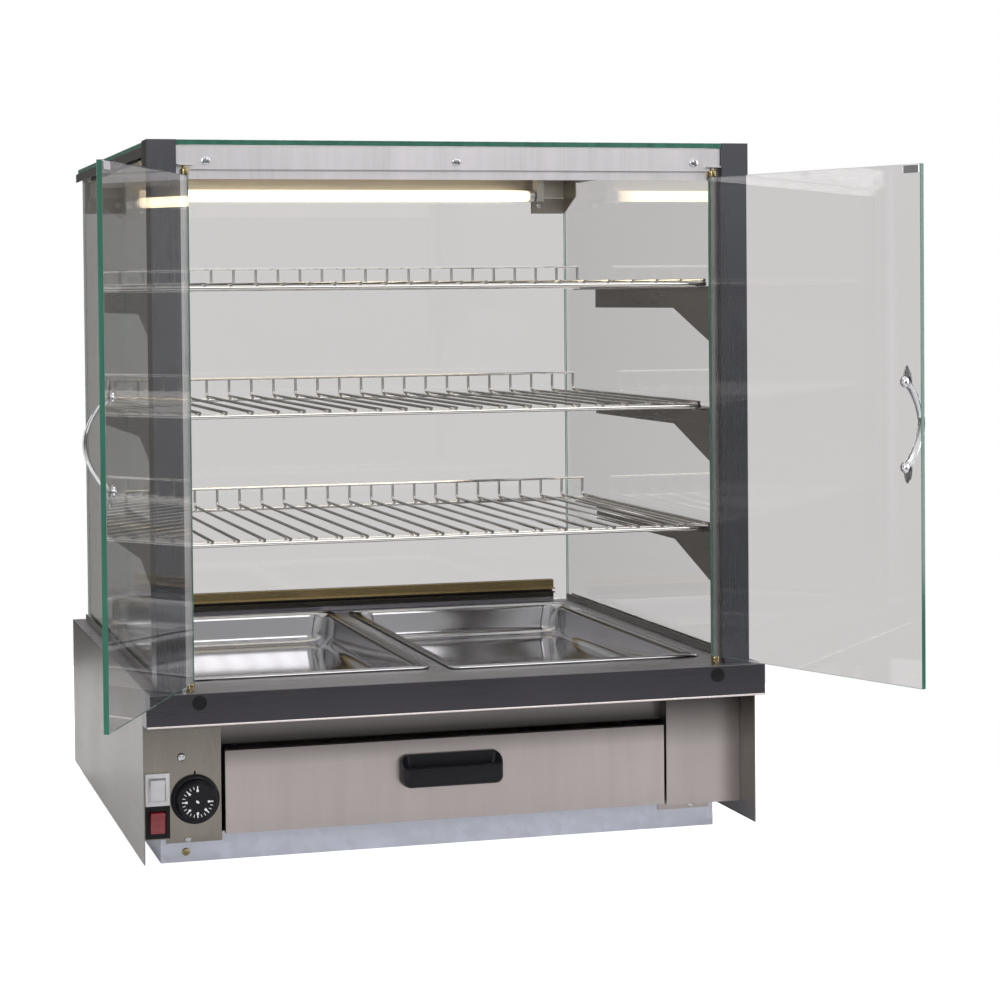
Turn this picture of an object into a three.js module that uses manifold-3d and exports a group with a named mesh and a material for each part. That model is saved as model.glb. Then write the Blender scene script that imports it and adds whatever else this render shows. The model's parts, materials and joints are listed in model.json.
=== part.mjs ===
// A countertop hot food display case: a heated sheet-steel base with a water
// drawer and two food pans, and a glass case with three wire shelves, a lamp
// and two hinged glass doors. Millimetres, +X right, +Y back, +Z up. The
// origin is the centre of the chassis underside, the face the case stands on.
// The two doors stand open, as the case is set out for loading.
import * as THREE from "three";
import { mergeVertices } from "three/addons/utils/BufferGeometryUtils.js";
import Module from "manifold-3d";

const wasm = await Module();
wasm.setup();

// ---------------------------------------------------------------- dimensions

// Overall
const WIDTH = 760;
const DEPTH = 670;
const HEIGHT = 850;

// Materials
const SHEET = 1.5;
const GLASS = 6;
const GAP = 0.3;

// Base
const DECK_TOP = 216;
const PANEL_BOTTOM = 15;
const RAIL_DROP = 38.5;
const RAIL_RETURN = 30;
const FLANGE = 20;
const LIP = 10;
const CHASSIS_MARGIN = 30;
const CHASSIS_SETBACK = 96;
const CHASSIS_REAR_MARGIN = 10;
const CHASSIS_FRONT_HEIGHT = 34;
const CHASSIS_WALL_TOP = 175;
const CHASSIS_NOTCH = 24;
const PLUG_INSET = 61.7;
const PLUG_DROP = 11.2;
const PLUG_RADIUS = 8.5;
const PLUG_STEM_RADIUS = 5.5;
const PLUG_THICKNESS = 1.6;
const VENT_ROWS = [115, 145];
const VENT_LENGTH = 40;
const VENT_HEIGHT = 6;
const VENT_PITCH = 60;
const VENT_COUNT = 8;

// Drawer
const DRAWER_FRONT_BOTTOM = 35.6;
const DRAWER_FRONT_HEIGHT = 98.4;
const DRAWER_PROUD = 24;
const DRAWER_TUB_LENGTH = 500;
const DRAWER_TUB_FLOOR = 42;
const DRAWER_TUB_HEIGHT = 80;
const DRAWER_TUB_INSET = 14;
const DRAWER_SIDE_GAP = 4.4;
const RUNNER_CLEARANCE = 4;
const RUNNER_LEDGE = 20;
const HANDLE_WIDTH = 126;
const HANDLE_HEIGHT = 39;
const HANDLE_DEPTH = 23;
const HANDLE_BOTTOM = 77.6;
const HANDLE_CORNER = 10;
const HANDLE_WALL = 7;

// Control boxes
const BOX_WIDTH = 97.8;
const BOX_BOTTOM = 33;
const BOX_DEPTH = 21;
const BOX_FLANGE_DROP = 9.6;
const BOX_TOP_FLANGE = 6;
const KNOB_RADIUS = 29;
const KNOB_FACE_RADIUS = 23;
const KNOB_DEPTH = 18;
const KNOB_HEIGHT = 78.7;
const KNOB_INSET = 31.6;
const SHAFT_RADIUS = 3;
const BUSH_RADIUS = 5;
const SWITCH_INSET = 7;
const SWITCH_WIDTH = 29;
const SWITCH_HEIGHT = 38.3;
const SWITCH_BOTTOM = 34.6;
const SWITCH_BODY_DEPTH = 26;
const BEZEL_THICKNESS = 2;
const BEZEL_SIDE_OVERLAP = 3.5;
const BEZEL_END_OVERLAP = 4;
const POCKET_DEPTH = 12;
const ROCKER_WIDTH = 18;
const ROCKER_HEIGHT = 25;
const ROCKER_TILT = 8;
const ROCKER_PROUD = 6;
const ROCKER_HOLLOW = 1.6;
const THERMOSTAT_WIDTH = 34;
const THERMOSTAT_HEIGHT = 38;
const THERMOSTAT_DEPTH = 30;

// Heating element, lamp gear and inlet
const ELEMENT_RADIUS = 4;
const ELEMENT_LIFT = 1.25;
const ELEMENT_RUNS = 4;
const ELEMENT_PITCH = 100;
const ELEMENT_SIDE_MARGIN = 150;
const ELEMENT_BAR_WIDTH = 20;
const GLAND_HOLE_RADIUS = 8;
const GLAND_HEIGHT = 60;
const GLAND_INSET = 80;
const GLAND_BORE = 4;
const BALLAST_OFFSET = 38;
const BALLAST_WIDTH = 40;
const BALLAST_START = -100;
const BALLAST_LENGTH = 150;
const BALLAST_HEIGHT = 26.5;
const TERMINAL_OFFSET = 44;
const TERMINAL_WIDTH = 30;
const TERMINAL_START = 180;
const TERMINAL_LENGTH = 50;
const TERMINAL_HEIGHT = 18.5;

// Food pans
const PAN_MARGIN_LEFT = 37.6;
const PAN_MARGIN_RIGHT = 53;
const PAN_SPACING = 19.4;
const PAN_MARGIN_FRONT = 73;
const PAN_MARGIN_REAR = 67;
const PAN_LEFT_SETBACK = 13;
const PAN_DEPTH = 40;
const PAN_RIM_WIDTH = 12.5;
const PAN_RIM_HEIGHT = 3.7;
const PAN_CORNER = 24;
const PAN_WALL = 1;
const PAN_PLAY = 2.5;

// Glass case
const POST_INSET = 11;
const POST_WIDTH = 34;
const POST_DEPTH = 36;
const POST_SETBACK = 18;
const POST_FLANGE = 14;
const CASE_REAR_MARGIN = 12;
const TOP_GLASS_DROP = 0.2;
const SIDE_GLASS_OFFSET = 9;
const BEAM_HEIGHT = 11.5;
const CHANNEL_HEIGHT = 9;
const CHANNEL_WIDTH = 14;
const GLASS_SEAT = 2;
const HEADER_DROP = 34;
const HEADER_SETBACK = 22;
const HEADER_EAR_RISE = 6;
const STOP_DROP = 45;
const REAR_CHANNEL_HEIGHT = 31.7;
const REAR_CHANNEL_DEPTH = 12;
const REAR_CHANNEL_MARGIN = 28;
const GROOVE_HEIGHT = 14.7;
const GROOVE_WIDTH = 4;
const GROOVE_DEPTH = 6;
const GROOVE_LIP = 8;
const LAMP_RADIUS = 8;
const LAMP_LENGTH = 590;
const LAMP_DROP = 37.5;
const LAMP_SETBACK = 32;
const LAMP_HOLDER_LENGTH = 10;
const LAMP_HOLDER_WIDTH = 22;
const LAMP_HOUSING_DEPTH = 53.5;
const LAMP_HOUSING_DROP = 39;
const LAMP_HOUSING_LIP = 7.3;
const PLATE_CLEARANCE = 0.2;
const CORNER_PLATE_DROP = 62;
const CORNER_PLATE_WIDTH = 53;
const CORNER_PLATE_DEPTH = 52;

// Doors
const PIVOT_SETBACK = 21;
const PIVOT_FROM_POST = 10.5;
const PIVOT_RADIUS = 2;
const SHOE_RADIUS = 4.5;
const DOOR_BOTTOM_GAP = 9;
const DOOR_TOP_DROP = 41;
const DOOR_HEEL = 4.5;
const DOOR_MEETING_GAP = 3;
const DOOR_OPEN_LEFT = 115.3;
const DOOR_OPEN_RIGHT = 112.5;
const DOOR_HANDLE_HEIGHT = 519;
const DOOR_HANDLE_FROM_EDGE = 23;
const DOOR_HANDLE_SCREWS = 96;
const DOOR_HANDLE_LENGTH = 132;
const DOOR_HANDLE_BOW = 25;
const DOOR_HANDLE_THICKNESS = 5;
const DOOR_HANDLE_WIDTH = 11;
const STRIKE_WIDTH = 22;
const STRIKE_HEIGHT = 9;

// Shelves
const SHELF_NAMES = ["bottom", "middle", "top"];
const SHELF_SHIFTS = [5, -8, 0];
const SHELF_TOP_CLEAR = 173.5;
const SHELF_FIRST_EXTRA = 9;
const SHELF_INSET = 50;
const SHELF_REAR_MARGIN = 145;
const SHELF_WIRE = 3;
const SHELF_BAR = 6;
const SHELF_PITCH = 31.1;
const SHELF_FENCE = 24;
const BRACKET_HEIGHT = 27;
const BRACKET_LEDGE = 36;
const BRACKET_GUSSET = 56;
const BRACKET_KNEE = 161;
const BRACKET_REACH = 458;

// Places worked out from the sizes above
const HALF = WIDTH / 2;
const FRONT = -DEPTH / 2;
const REAR = DEPTH / 2;
const DECK_UNDER = DECK_TOP - SHEET;
const PLUG_HEIGHT = DECK_TOP - PLUG_DROP;
const UNDER_PANS = DECK_TOP - PAN_DEPTH - 0.5;
const OVER_DRAWER = DRAWER_TUB_FLOOR + DRAWER_TUB_HEIGHT;
const ELEMENT_HEIGHT = (OVER_DRAWER + UNDER_PANS) / 2 + ELEMENT_LIFT;
const ON_DECK = DECK_TOP + GAP;
const CHASSIS_HALF = HALF - CHASSIS_MARGIN;
const CHASSIS_FRONT = FRONT + CHASSIS_SETBACK;
const CHASSIS_REAR = REAR - CHASSIS_REAR_MARGIN;
const DRAWER_FACE = CHASSIS_FRONT - DRAWER_PROUD;
const BOX_FACE = CHASSIS_FRONT - BOX_DEPTH;
const BOX_OUTER = HALF - SHEET - GAP;
const BOX_INNER = BOX_OUTER - BOX_WIDTH;
const DRAWER_HALF = BOX_INNER - DRAWER_SIDE_GAP;
const TUB_HALF = DRAWER_HALF - DRAWER_TUB_INSET;
const RUNNER_HALF = TUB_HALF + RUNNER_CLEARANCE;
const POST_OUTER = HALF - POST_INSET;
const POST_INNER = POST_OUTER - POST_WIDTH;
const POST_FRONT = FRONT + POST_SETBACK;
const POST_REAR = POST_FRONT + POST_DEPTH;
const BEHIND_POST = POST_REAR + GAP;
const CASE_REAR = REAR - CASE_REAR_MARGIN;
const TOP_GLASS_UNDER = HEIGHT - TOP_GLASS_DROP - GLASS;
const UNDER_TOP_GLASS = TOP_GLASS_UNDER - GAP;
const SIDE_GLASS_OUTER = POST_OUTER - SIDE_GLASS_OFFSET;
const SIDE_GLASS_INNER = SIDE_GLASS_OUTER - GLASS;
const PLATE_PLANE = SIDE_GLASS_INNER - SHEET - GAP - PLATE_CLEARANCE;
const REAR_GLASS_FRONT = CASE_REAR - GLASS;
const REAR_PLATE = REAR_GLASS_FRONT - SHEET;
const HINGE_X = POST_INNER - PIVOT_FROM_POST;
const HINGE_Y = FRONT + PIVOT_SETBACK;
const DOOR_BOTTOM = DECK_TOP + DOOR_BOTTOM_GAP;
const DOOR_TOP = HEIGHT - DOOR_TOP_DROP;
const DOOR_REACH = HINGE_X - DOOR_MEETING_GAP / 2;
const SHELF_HALF = HALF - SHELF_INSET;
const SHELF_FRONT = BEHIND_POST + SHELF_BAR / 2 + 1.7;
const SHELF_REAR = REAR - SHELF_REAR_MARGIN;
const SHELF_STEP =
  (HEIGHT - SHELF_TOP_CLEAR - DECK_TOP - SHELF_FIRST_EXTRA) / SHELF_NAMES.length;
const SHELF_SEATS = SHELF_NAMES.map(
  (_, level) => DECK_TOP + SHELF_FIRST_EXTRA + (level + 1) * SHELF_STEP,
);
const PAN_WIDTH =
  (WIDTH - PAN_MARGIN_LEFT - PAN_MARGIN_RIGHT - PAN_SPACING) / 2;
const PAN_LENGTH = DEPTH - PAN_MARGIN_FRONT - PAN_MARGIN_REAR;
const PAN_FRONT = FRONT + PAN_MARGIN_FRONT;
const PAN_PLACES = {
  left: [-HALF + PAN_MARGIN_LEFT + PAN_WIDTH / 2, PAN_LEFT_SETBACK],
  right: [HALF - PAN_MARGIN_RIGHT - PAN_WIDTH / 2, 0],
};
const SIDES = { left: -1, right: 1 };

// ----------------------------------------------------------------- materials

function metal(color, roughness = 0.35) {
  return new THREE.MeshStandardMaterial({ color, roughness, metalness: 1 });
}

function plastic(color, roughness = 0.45) {
  return new THREE.MeshStandardMaterial({ color, roughness, metalness: 0 });
}

function glass(color = 0xc4cfca, opacity = 0.3) {
  return new THREE.MeshStandardMaterial({
    color,
    opacity,
    roughness: 0.03,
    metalness: 0,
    transparent: true,
  });
}

const STEEL = 0xb4aea8;
const DARK_STEEL = 0x8e8a8c;
const GALVANISED = 0xb2b6c3;
const CHROME = 0xd2d2d6;
const ALUMINIUM = 0x9a938a;
const BRASS = 0xa9843f;
const BLACK = 0x17181c;
const WHITE = 0xe4e4ea;
const RED = 0xa51d22;

// ------------------------------------------------------------- solid helpers

/** A closed three.js geometry as a solid that can be joined and cut. */
function toSolid(shape) {
  if (!shape.isBufferGeometry) return shape;
  const bare = shape.clone();
  bare.deleteAttribute("normal");
  bare.deleteAttribute("uv");
  const merged = mergeVertices(bare, 1e-4);
  return new wasm.Manifold(
    new wasm.Mesh({
      numProp: 3,
      vertProperties: new Float32Array(merged.attributes.position.array),
      triVerts: new Uint32Array(merged.index.array),
    }),
  );
}

/** A solid back as a flat-shaded three.js geometry. */
function toGeometry(solid) {
  const mesh = solid.getMesh();
  const geometry = new THREE.BufferGeometry();
  const position = new THREE.BufferAttribute(mesh.vertProperties, 3);
  geometry.setAttribute("position", position);
  geometry.setIndex(new THREE.BufferAttribute(mesh.triVerts, 1));
  const flat = geometry.toNonIndexed();
  flat.computeVertexNormals();
  return flat;
}

function join(...shapes) {
  return shapes.map(toSolid).reduce((whole, piece) => whole.add(piece));
}

function cut(body, ...tools) {
  return tools.map(toSolid).reduce((left, tool) => left.subtract(tool), toSolid(body));
}

/** The [low, high] span of two distances on one side of the middle plane. */
function across(side, near, far) {
  return [Math.min(side * near, side * far), Math.max(side * near, side * far)];
}

/** The [low, high] span of a size about its middle. */
function centred(middle, size) {
  return [middle - size / 2, middle + size / 2];
}

/** A box from its [low, high] spans along X, Y and Z. */
function block(x, y, z) {
  const box = new THREE.BoxGeometry(x[1] - x[0], y[1] - y[0], z[1] - z[0]);
  box.translate((x[0] + x[1]) / 2, (y[0] + y[1]) / 2, (z[0] + z[1]) / 2);
  return box;
}

function shapeOf(outline) {
  return new THREE.Shape(outline.map(([a, b]) => new THREE.Vector2(a, b)));
}

/** An outline or shape stretched along Z, given as (x, y) points. */
function prismZ(outline, z) {
  const shape = Array.isArray(outline) ? shapeOf(outline) : outline;
  const options = { depth: z[1] - z[0], bevelEnabled: false, curveSegments: 6 };
  return new THREE.ExtrudeGeometry(shape, options).translate(0, 0, z[0]);
}

/** An outline stretched along Y, given as (x, z) points. */
function prismY(outline, y) {
  const turned = prismZ(outline, [0, y[1] - y[0]]).rotateX(Math.PI / 2);
  return turned.translate(0, y[1], 0);
}

/** An outline stretched along X, given as (y, z) points. */
function prismX(outline, x) {
  const turn = new THREE.Matrix4().set(0, 0, 1, 0, 1, 0, 0, 0, 0, 1, 0, 0, 0, 0, 0, 1);
  return prismZ(outline, x).applyMatrix4(turn);
}

/** A round bar along one axis from `start` to `end`, through `centre`. */
function bar(axis, radius, start, end, centre, sides = 16) {
  const rod = new THREE.CylinderGeometry(radius, radius, end - start, sides);
  if (axis === "x") rod.rotateZ(-Math.PI / 2);
  if (axis === "z") rod.rotateX(Math.PI / 2);
  const place = { x: centre[0], y: centre[1], z: centre[2] };
  place[axis] = (start + end) / 2;
  return rod.translate(place.x, place.y, place.z);
}

/** A rectangle with round corners, as a shape about (cx, cy). */
function roundedShape(cx, cy, width, height, radius) {
  const [l, r] = [cx - width / 2, cx + width / 2];
  const [b, t] = [cy - height / 2, cy + height / 2];
  const shape = new THREE.Shape();
  shape.moveTo(l + radius, b).lineTo(r - radius, b);
  shape.absarc(r - radius, b + radius, radius, -Math.PI / 2, 0);
  shape.lineTo(r, t - radius);
  shape.absarc(r - radius, t - radius, radius, 0, Math.PI / 2);
  shape.lineTo(l + radius, t);
  shape.absarc(l + radius, t - radius, radius, Math.PI / 2, Math.PI);
  shape.lineTo(l, b + radius);
  shape.absarc(l + radius, b + radius, radius, Math.PI, 1.5 * Math.PI);
  return shape;
}

/**
 * The closed outline of a bent sheet. `points` is the line its outer face
 * follows; the metal lies on the left of the way along it.
 */
function bentSheet(points, thickness = SHEET) {
  const line = points.map(([a, b]) => new THREE.Vector2(a, b));
  const ways = line.slice(1).map((p, i) => p.clone().sub(line[i]).normalize());
  const inner = line.map((p, i) => {
    const before = ways[Math.max(i - 1, 0)];
    const after = ways[Math.min(i, ways.length - 1)];
    const left = new THREE.Vector2(-before.y - after.y, before.x + after.x).normalize();
    const reach = thickness / (left.x * -before.y + left.y * before.x);
    return [p.x + left.x * reach, p.y + left.y * reach];
  });
  return [...points, ...inner.reverse()];
}

/** A path that a sweep follows from corner to corner, one step each. */
class CornerPath extends THREE.Curve {
  constructor(points) {
    super();
    this.points = points;
  }

  getPoint(t, target = new THREE.Vector3()) {
    const along = t * (this.points.length - 1);
    const corner = Math.min(Math.floor(along + 1e-6), this.points.length - 2);
    return target.lerpVectors(this.points[corner], this.points[corner + 1], along - corner);
  }

  getPointAt(t, target) {
    return this.getPoint(t, target);
  }

  getTangentAt(t, target = new THREE.Vector3()) {
    const last = this.points.length - 1;
    const corner = Math.round(t * last);
    const before = this.points[Math.max(corner - 1, 0)];
    const after = this.points[Math.min(corner + 1, last)];
    return target.subVectors(after, before).normalize();
  }
}

function sweep(points, section) {
  const extrudePath = new CornerPath(points);
  const options = { extrudePath, steps: points.length - 1, bevelEnabled: false };
  return new THREE.ExtrudeGeometry(section, options);
}

function circle(radius, sides) {
  const corners = Array.from({ length: sides }, (_, i) => (2 * Math.PI * i) / sides);
  return shapeOf(corners.map((a) => [radius * Math.cos(a), radius * Math.sin(a)]));
}

// ---------------------------------------------------------------- scene graph

const displayCase = new THREE.Group();

function add(name, shape, material, parent = displayCase) {
  const geometry = shape.isBufferGeometry ? shape : toGeometry(shape);
  const mesh = new THREE.Mesh(geometry, material);
  mesh.name = name;
  parent.add(mesh);
  return mesh;
}

// ---------------------------------------------------------------------- base

/** A drawer runner: a channel standing on the chassis floor. */
function runner(side) {
  const top = OVER_DRAWER + 2;
  const ledge = DRAWER_TUB_FLOOR - GAP - SHEET;
  const y = [CHASSIS_FRONT + SHEET + 1, CHASSIS_FRONT + DRAWER_TUB_LENGTH];
  const wall = block(across(side, RUNNER_HALF, RUNNER_HALF + SHEET), y, [SHEET / 2, top + SHEET]);
  const inward = across(side, RUNNER_HALF - RUNNER_LEDGE, RUNNER_HALF + SHEET / 2);
  return join(
    wall,
    block(inward, y, [ledge, ledge + SHEET]),
    block(inward, y, [top, top + SHEET]),
  );
}

function chassisWall(side) {
  const outline = [
    [CHASSIS_FRONT, 0],
    [CHASSIS_REAR, 0],
    [CHASSIS_REAR, CHASSIS_WALL_TOP],
    [CHASSIS_FRONT + CHASSIS_NOTCH, CHASSIS_WALL_TOP],
    [CHASSIS_FRONT + CHASSIS_NOTCH, CHASSIS_FRONT_HEIGHT],
    [CHASSIS_FRONT, CHASSIS_FRONT_HEIGHT],
  ];
  return prismX(outline, across(side, CHASSIS_HALF - SHEET, CHASSIS_HALF));
}

function chassisTray() {
  const profile = bentSheet([
    [CHASSIS_FRONT, CHASSIS_FRONT_HEIGHT],
    [CHASSIS_FRONT, 0],
    [CHASSIS_REAR, 0],
    [CHASSIS_REAR, CHASSIS_FRONT_HEIGHT],
  ]);
  const tray = prismX(profile, [-CHASSIS_HALF, CHASSIS_HALF]);
  return join(tray, chassisWall(-1), chassisWall(1), runner(-1), runner(1));
}

function fasciaPanel() {
  const half = CHASSIS_HALF - SHEET - 2 * GAP;
  const bottom = DRAWER_FRONT_BOTTOM + DRAWER_FRONT_HEIGHT + 3;
  const top = UNDER_PANS;
  const face = bentSheet([
    [CHASSIS_FRONT + FLANGE, top],
    [CHASSIS_FRONT, top],
    [CHASSIS_FRONT, bottom],
  ]);
  const y = [CHASSIS_FRONT + SHEET / 2, CHASSIS_FRONT + CHASSIS_NOTCH + FLANGE];
  const tabs = [-1, 1].map((side) =>
    block(across(side, half - SHEET - 1, half - 1), y, [bottom + 1, top - SHEET / 2]),
  );
  return join(prismX(face, [-half, half]), ...tabs);
}

function baseSidePanel(side) {
  const profile = bentSheet([
    [HALF, PANEL_BOTTOM],
    [HALF, DECK_UNDER - GAP],
    [HALF - FLANGE, DECK_UNDER - GAP],
  ]);
  const sided = profile.map(([x, z]) => [side * x, z]);
  return prismY(sided, [FRONT + RAIL_RETURN, REAR - SHEET - GAP]);
}

function baseBackPanel() {
  const inner = HALF - CHASSIS_MARGIN - GAP;
  const web = block([-HALF, HALF], [REAR - SHEET, REAR], [PANEL_BOTTOM, DECK_UNDER - GAP]);
  const flangeY = [CHASSIS_REAR + GAP, REAR - SHEET / 2];
  const foot = block([-inner, inner], flangeY, [PANEL_BOTTOM, PANEL_BOTTOM + SHEET]);
  const topZ = [DECK_UNDER - GAP - SHEET, DECK_UNDER - GAP];
  const top = block([-inner, inner], [REAR - FLANGE, REAR - SHEET / 2], topZ);
  const gland = bar("y", GLAND_HOLE_RADIUS, REAR - 5, REAR + 5, [-HALF + GLAND_INSET, 0, GLAND_HEIGHT]);
  return cut(join(web, foot, top), gland, ...ventSlots());
}

/** Two rows of cooling slots through the back panel. */
function ventSlots() {
  const first = -((VENT_COUNT - 1) * VENT_PITCH) / 2;
  return VENT_ROWS.flatMap((z) =>
    Array.from({ length: VENT_COUNT }, (_, i) => {
      const x = centred(first + i * VENT_PITCH, VENT_LENGTH);
      return block(x, [REAR - 5, REAR + 5], [z, z + VENT_HEIGHT]);
    }),
  );
}

function panOpening([x, setback]) {
  const width = PAN_WIDTH - 2 * PAN_RIM_WIDTH + 2 * PAN_PLAY;
  const length = PAN_LENGTH - 2 * PAN_RIM_WIDTH + 2 * PAN_PLAY;
  const y = PAN_FRONT + PAN_LENGTH / 2 + setback;
  const shape = roundedShape(x, y, width, length, PAN_CORNER + PAN_PLAY);
  return prismZ(shape, [DECK_UNDER - 5, DECK_TOP + 5]);
}

function deckTop() {
  const bottom = DECK_TOP - RAIL_DROP;
  const profile = bentSheet([
    [REAR, DECK_TOP],
    [FRONT, DECK_TOP],
    [FRONT, bottom],
    [FRONT + LIP, bottom],
  ]);
  const returns = [-1, 1].map((side) =>
    block(
      across(side, HALF - SHEET, HALF),
      [FRONT, FRONT + RAIL_RETURN - GAP],
      [bottom, DECK_TOP - SHEET / 2],
    ),
  );
  const deck = join(prismX(profile, [-HALF, HALF]), ...returns);
  const holes = [-1, 1].flatMap((side) => [
    bar("y", PLUG_STEM_RADIUS + GAP, FRONT - 5, FRONT + 5, [side * (HALF - PLUG_INSET), 0, PLUG_HEIGHT]),
    bar("z", PIVOT_RADIUS + GAP, DECK_UNDER - 5, DECK_TOP + 5, [side * HINGE_X, HINGE_Y, 0]),
  ]);
  return cut(deck, ...Object.values(PAN_PLACES).map(panOpening), ...holes);
}

/** A black push-in plug that closes the hole over a pivot screw. */
function railPlug(side) {
  const centre = [side * (HALF - PLUG_INSET), 0, PLUG_HEIGHT];
  return join(
    bar("y", PLUG_RADIUS, FRONT - GAP - PLUG_THICKNESS, FRONT - GAP, centre, 24),
    bar("y", PLUG_STEM_RADIUS, FRONT - GAP - 0.5, FRONT + 5, centre),
  );
}

// -------------------------------------------------------------- control boxes

/** One of the two sheet boxes beside the drawer. */
function sideBox(side) {
  const top = DECK_UNDER - 2.5;
  const back = CHASSIS_FRONT - GAP;
  const x = across(side, BOX_INNER, BOX_OUTER);
  const shell = bentSheet([
    [BOX_FACE + BOX_TOP_FLANGE, top],
    [BOX_FACE, top],
    [BOX_FACE, BOX_BOTTOM],
    [back, BOX_BOTTOM],
  ]);
  const walls = [
    across(side, BOX_INNER, BOX_INNER + SHEET),
    across(side, BOX_OUTER - SHEET, BOX_OUTER),
  ].map((wall) => block(wall, [BOX_FACE, back], [BOX_BOTTOM, UNDER_PANS]));
  const flange = block(
    across(side, BOX_INNER - 4, CHASSIS_HALF - 6.5),
    [back - SHEET, back],
    [BOX_BOTTOM - BOX_FLANGE_DROP, BOX_BOTTOM + SHEET],
  );
  return join(prismX(shell, x), ...walls, flange);
}

const KNOB_X = -(BOX_INNER + KNOB_INSET);
const SWITCH_X = -(BOX_OUTER - SWITCH_INSET - SWITCH_WIDTH / 2);
const SWITCH_CENTRES = {
  power: SWITCH_BOTTOM + SWITCH_HEIGHT / 2,
  light: SWITCH_BOTTOM + GAP + 1.5 * SWITCH_HEIGHT,
};
const CUTOUT_WIDTH = SWITCH_WIDTH - 2 * BEZEL_SIDE_OVERLAP;
const CUTOUT_HEIGHT = SWITCH_HEIGHT - 2 * BEZEL_END_OVERLAP;

function controlBox() {
  const y = [BOX_FACE - 5, BOX_FACE + SHEET + 3];
  const cutouts = Object.values(SWITCH_CENTRES).map((z) =>
    block(centred(SWITCH_X, CUTOUT_WIDTH), y, centred(z, CUTOUT_HEIGHT)),
  );
  const shaftHole = bar("y", BUSH_RADIUS + GAP, ...y, [KNOB_X, 0, KNOB_HEIGHT]);
  return cut(sideBox(-1), shaftHole, ...cutouts);
}

/** A switch housing: bezel, body and the pocket the rocker sits in. */
function switchBody(z) {
  const face = BOX_FACE - GAP;
  const bezel = block(
    centred(SWITCH_X, SWITCH_WIDTH),
    [face - BEZEL_THICKNESS, face],
    centred(z, SWITCH_HEIGHT),
  );
  const body = block(
    centred(SWITCH_X, CUTOUT_WIDTH - 2 * GAP),
    [face - 1, face + SWITCH_BODY_DEPTH],
    centred(z, CUTOUT_HEIGHT - 2 * GAP),
  );
  const pocket = block(
    centred(SWITCH_X, ROCKER_WIDTH + 2 * GAP),
    [face - 10, face + POCKET_DEPTH],
    centred(z, ROCKER_HEIGHT + 1.6),
  );
  return cut(join(bezel, body), pocket);
}

/** A rocker with a hollow front, tipped about its own pivot. */
function rocker() {
  const half = ROCKER_HEIGHT / 2;
  const outline = [
    [-ROCKER_PROUD, half],
    [ROCKER_HOLLOW - ROCKER_PROUD, 0],
    [-ROCKER_PROUD, -half],
    [1, -half],
    [4, 0],
    [1, half],
  ];
  return prismX(outline, centred(0, ROCKER_WIDTH));
}

function addRocker(name, z, material) {
  const mesh = add(name, rocker(), material);
  mesh.position.set(SWITCH_X, BOX_FACE + 1.5, z);
  mesh.rotation.x = THREE.MathUtils.degToRad(ROCKER_TILT);
}

/** The dial knob, a stepped turning with a blind bore for the shaft. */
function knob() {
  const bore = SHAFT_RADIUS + GAP;
  const profile = [
    [bore, 0],
    [KNOB_RADIUS, 0],
    [KNOB_RADIUS, 3],
    [KNOB_RADIUS - 2, 5],
    [KNOB_FACE_RADIUS + 1.5, KNOB_DEPTH - 2],
    [KNOB_FACE_RADIUS, KNOB_DEPTH],
    [0, KNOB_DEPTH],
    [0, 13],
    [bore, 13],
    [bore, 0],
  ];
  const points = profile.map(([r, y]) => new THREE.Vector2(r, y));
  return new THREE.LatheGeometry(points, 32);
}

function addKnob() {
  const mesh = add("thermostat_knob", knob(), plastic(BLACK));
  mesh.position.set(KNOB_X, BOX_FACE - 2 * GAP, KNOB_HEIGHT);
  mesh.rotation.x = Math.PI;
}

function thermostatBody() {
  const behind = BOX_FACE + SHEET + GAP;
  const centre = [KNOB_X, 0, KNOB_HEIGHT];
  return join(
    block(
      centred(KNOB_X, THERMOSTAT_WIDTH),
      [behind, behind + THERMOSTAT_DEPTH],
      centred(KNOB_HEIGHT, THERMOSTAT_HEIGHT),
    ),
    bar("y", BUSH_RADIUS, BOX_FACE + GAP, behind + 1, centre),
    bar("y", SHAFT_RADIUS, BOX_FACE - 12, BOX_FACE + 2, centre),
  );
}

// --------------------------------------------------------------------- drawer

function drawerFront() {
  const z = [DRAWER_FRONT_BOTTOM, DRAWER_FRONT_BOTTOM + DRAWER_FRONT_HEIGHT];
  const solid = block([-DRAWER_HALF, DRAWER_HALF], [DRAWER_FACE, DRAWER_FACE + LIP + SHEET], z);
  const hollow = block(
    [-DRAWER_HALF + SHEET, DRAWER_HALF - SHEET],
    [DRAWER_FACE + SHEET, DRAWER_FACE + LIP + 5],
    [z[0] + SHEET, z[1] - SHEET],
  );
  return cut(solid, hollow);
}

function drawerTub() {
  const front = DRAWER_FACE + SHEET + GAP;
  const y = [front, front + DRAWER_TUB_LENGTH];
  const z = [DRAWER_TUB_FLOOR, OVER_DRAWER];
  const inside = block(
    [-TUB_HALF + SHEET, TUB_HALF - SHEET],
    [y[0] + SHEET, y[1] - SHEET],
    [z[0] + SHEET, z[1] + 5],
  );
  return cut(block([-TUB_HALF, TUB_HALF], y, z), inside);
}

/** The moulded pull: a rounded block scooped out from above. */
function drawerHandle() {
  const back = DRAWER_FACE - GAP;
  const middle = HANDLE_BOTTOM + HANDLE_HEIGHT / 2;
  const outer = roundedShape(0, middle, HANDLE_WIDTH, HANDLE_HEIGHT, HANDLE_CORNER);
  const scoop = block(
    centred(0, HANDLE_WIDTH - 2 * HANDLE_WALL),
    [back - HANDLE_DEPTH + 5, back - 2],
    [HANDLE_BOTTOM + HANDLE_WALL, HANDLE_BOTTOM + HANDLE_HEIGHT + 5],
  );
  return cut(prismY(outer, [back - HANDLE_DEPTH, back]), scoop);
}

// ------------------------------------------------------- inside the heated base

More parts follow.
